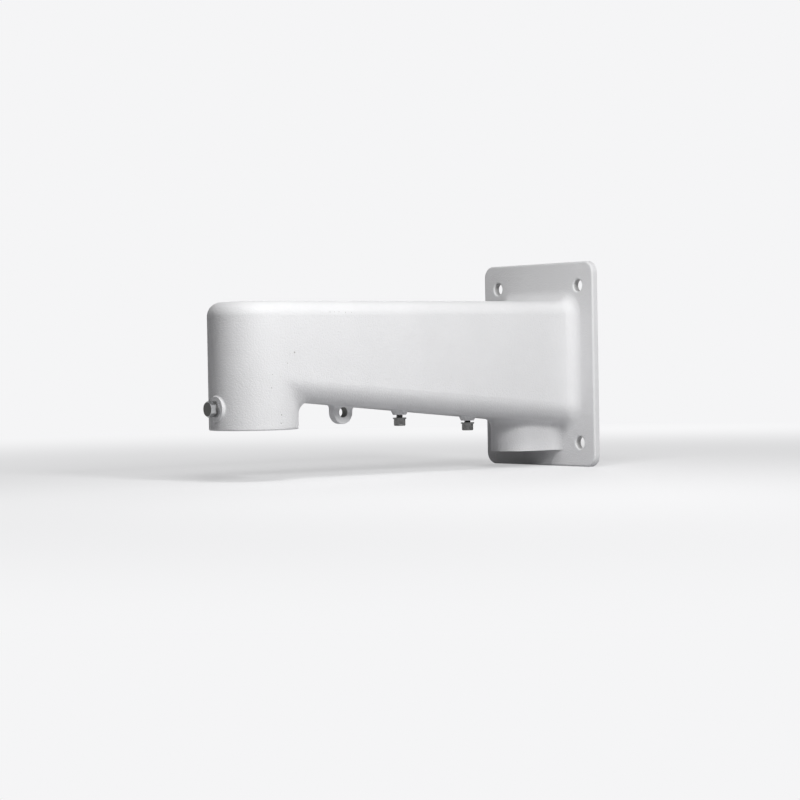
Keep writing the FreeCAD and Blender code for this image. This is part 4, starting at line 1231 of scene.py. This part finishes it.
def thread_ridge(tree, sizes):
    """Ridge of a thread that climbs from z = 0 inside a bore about the Z axis."""
    rotations = add_node(
        tree, "ShaderNodeMath", {"operation": "DIVIDE"}, {0: sizes["Length"], 1: sizes["Pitch"]}
    )
    foot_radius = add_node(
        tree, "ShaderNodeMath", {"operation": "ADD"}, {0: sizes["Root Radius"], 1: RIDGE_SINK}
    )
    helix = add_node(
        tree,
        "GeometryNodeCurveSpiral",
        None,
        {
            "Resolution": RIDGE_POINTS_PER_TURN,
            "Rotations": rotations.outputs["Value"],
            "Start Radius": foot_radius.outputs["Value"],
            "End Radius": foot_radius.outputs["Value"],
            "Height": sizes["Length"],
        },
    )
    level = add_node(
        tree, "GeometryNodeSetCurveNormal", {"mode": "Z_UP"}, {"Curve": helix.outputs["Curve"]}
    )
    foot = add_node(
        tree, "ShaderNodeMath", {"operation": "MULTIPLY"}, {0: sizes["Pitch"], 1: FOOT_SHARE}
    )
    blunt = add_node(
        tree, "ShaderNodeMath", {"operation": "MULTIPLY"}, {0: sizes["Pitch"], 1: BLUNT_SHARE}
    )
    rise = add_node(
        tree, "ShaderNodeMath", {"operation": "ADD"}, {0: sizes["Depth"], 1: RIDGE_SINK}
    )
    section = add_node(
        tree,
        "GeometryNodeCurvePrimitiveQuadrilateral",
        {"mode": "TRAPEZOID"},
        {
            "Bottom Width": foot.outputs["Value"],
            "Top Width": blunt.outputs["Value"],
            "Height": rise.outputs["Value"],
            "Offset": 0.0,
        },
    )
    half = add_node(
        tree, "ShaderNodeMath", {"operation": "MULTIPLY"}, {0: rise.outputs["Value"], 1: 0.5}
    )
    lift = add_node(tree, "ShaderNodeCombineXYZ", None, {"Y": half.outputs["Value"]})
    stood = add_node(
        tree,
        "GeometryNodeTransform",
        None,
        {"Geometry": section.outputs["Curve"], "Translation": lift.outputs["Vector"]},
    )
    aimed = add_node(
        tree,
        "GeometryNodeTransform",
        None,
        {"Geometry": stood.outputs["Geometry"], "Rotation": SECTION_TURN},
    )

    # The ridge grows over a short share of its way at both ends
    along = add_node(tree, "GeometryNodeSplineParameter")
    remaining = add_node(
        tree, "ShaderNodeMath", {"operation": "SUBTRACT"}, {0: 1.0, 1: along.outputs["Factor"]}
    )
    nearest = add_node(
        tree,
        "ShaderNodeMath",
        {"operation": "MINIMUM"},
        {0: along.outputs["Factor"], 1: remaining.outputs["Value"]},
    )
    growth = add_node(
        tree,
        "ShaderNodeMapRange",
        None,
        {
            "Value": nearest.outputs["Value"],
            "From Min": 0.0,
            "From Max": FADE_SHARE,
            "To Min": LEAST_SHARE,
            "To Max": 1.0,
        },
    )
    ridge = add_node(
        tree,
        "GeometryNodeCurveToMesh",
        None,
        {
            "Curve": level.outputs["Curve"],
            "Profile Curve": aimed.outputs["Geometry"],
            "Scale": growth.outputs["Result"],
            "Fill Caps": True,
        },
    )
    return ridge.outputs["Mesh"]


# %% [markdown]
# The powder coat stays out of the bores, because a tap cuts them afterwards. Freshly cut aluminium is
# bright, and the tap's teeth leave fine rings in it.

# %% Bare aluminium of the bores
BARE_COLOUR = "#C9CACC"
BARE_WORN_COLOUR = "#A7A8AB"
BARE_ROUGHNESS = 0.3
TAP_MARK_WIDTH = 0.3 * MM
TAP_MARK_DEPTH = 0.01 * MM
TAP_MARK_WAVER = 1.5


def tapped_aluminium():
    """Bare aluminium as the tap leaves it: bright, with fine rings round the bore."""
    material, tree = new_material("tapped_bare_aluminium")
    place = add_node(tree, "ShaderNodeTexCoord").outputs["Object"]
    stain = add_node(tree, "ShaderNodeTexNoise", None, {"Vector": place, "Scale": 1 / STAIN_WIDTH})
    tint = add_node(
        tree,
        "ShaderNodeMix",
        {"data_type": "RGBA"},
        {"Factor": stain.outputs["Fac"], "A": linear(BARE_COLOUR), "B": linear(BARE_WORN_COLOUR)},
    )
    rings = add_node(
        tree,
        "ShaderNodeTexWave",
        {"wave_type": "BANDS", "bands_direction": "Z"},
        {"Vector": place, "Scale": 1 / TAP_MARK_WIDTH / TAU, "Distortion": TAP_MARK_WAVER},
    )
    marks = add_node(
        tree, "ShaderNodeBump", None, {"Height": rings.outputs["Fac"], "Distance": TAP_MARK_DEPTH}
    )
    metal = add_node(
        tree,
        "ShaderNodeBsdfPrincipled",
        None,
        {
            "Base Color": tint.outputs["Result"],
            "Metallic": 1.0,
            "Roughness": BARE_ROUGHNESS,
            "Normal": marks.outputs["Normal"],
        },
    )
    add_node(tree, "ShaderNodeOutputMaterial", None, {"Surface": metal.outputs["BSDF"]})
    return material


# %% [markdown]
# Both bores are upright, so each ridge only needs its place along the arm and the height where it starts.
# The ridges are extra detail inside the casting and replace none of its solids.

# %% Ridges in their bores
# piece, its sizes, its axis (y) and the height where the ridge starts
BORE_THREADS = [
    ("camera_pipe_thread", PIPE_THREAD, -272.0 * MM, -39.3 * MM),
    ("cable_gland_thread", GLAND_THREAD, -27.0 * MM, -63.4 * MM),
]
ridge_tree, ridge_inputs = new_tree("bore_thread", PIPE_THREAD)
end_tree(ridge_tree, thread_ridge(ridge_tree, ridge_inputs), tapped_aluminium())
for name, sizes, axis_y, start_z in BORE_THREADS:
    thread = make_piece(name, ridge_tree, sizes, Matrix.Translation((0, axis_y, start_z)))
    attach(thread, "root")

# %% [markdown]
# The dressed model is meant to be as large as the construction model. Its box is printed, to set beside
# the one printed at the start.

# %% Box of the dressed model
low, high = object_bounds()
print("dressed model: box", tuple(low), tuple(high))
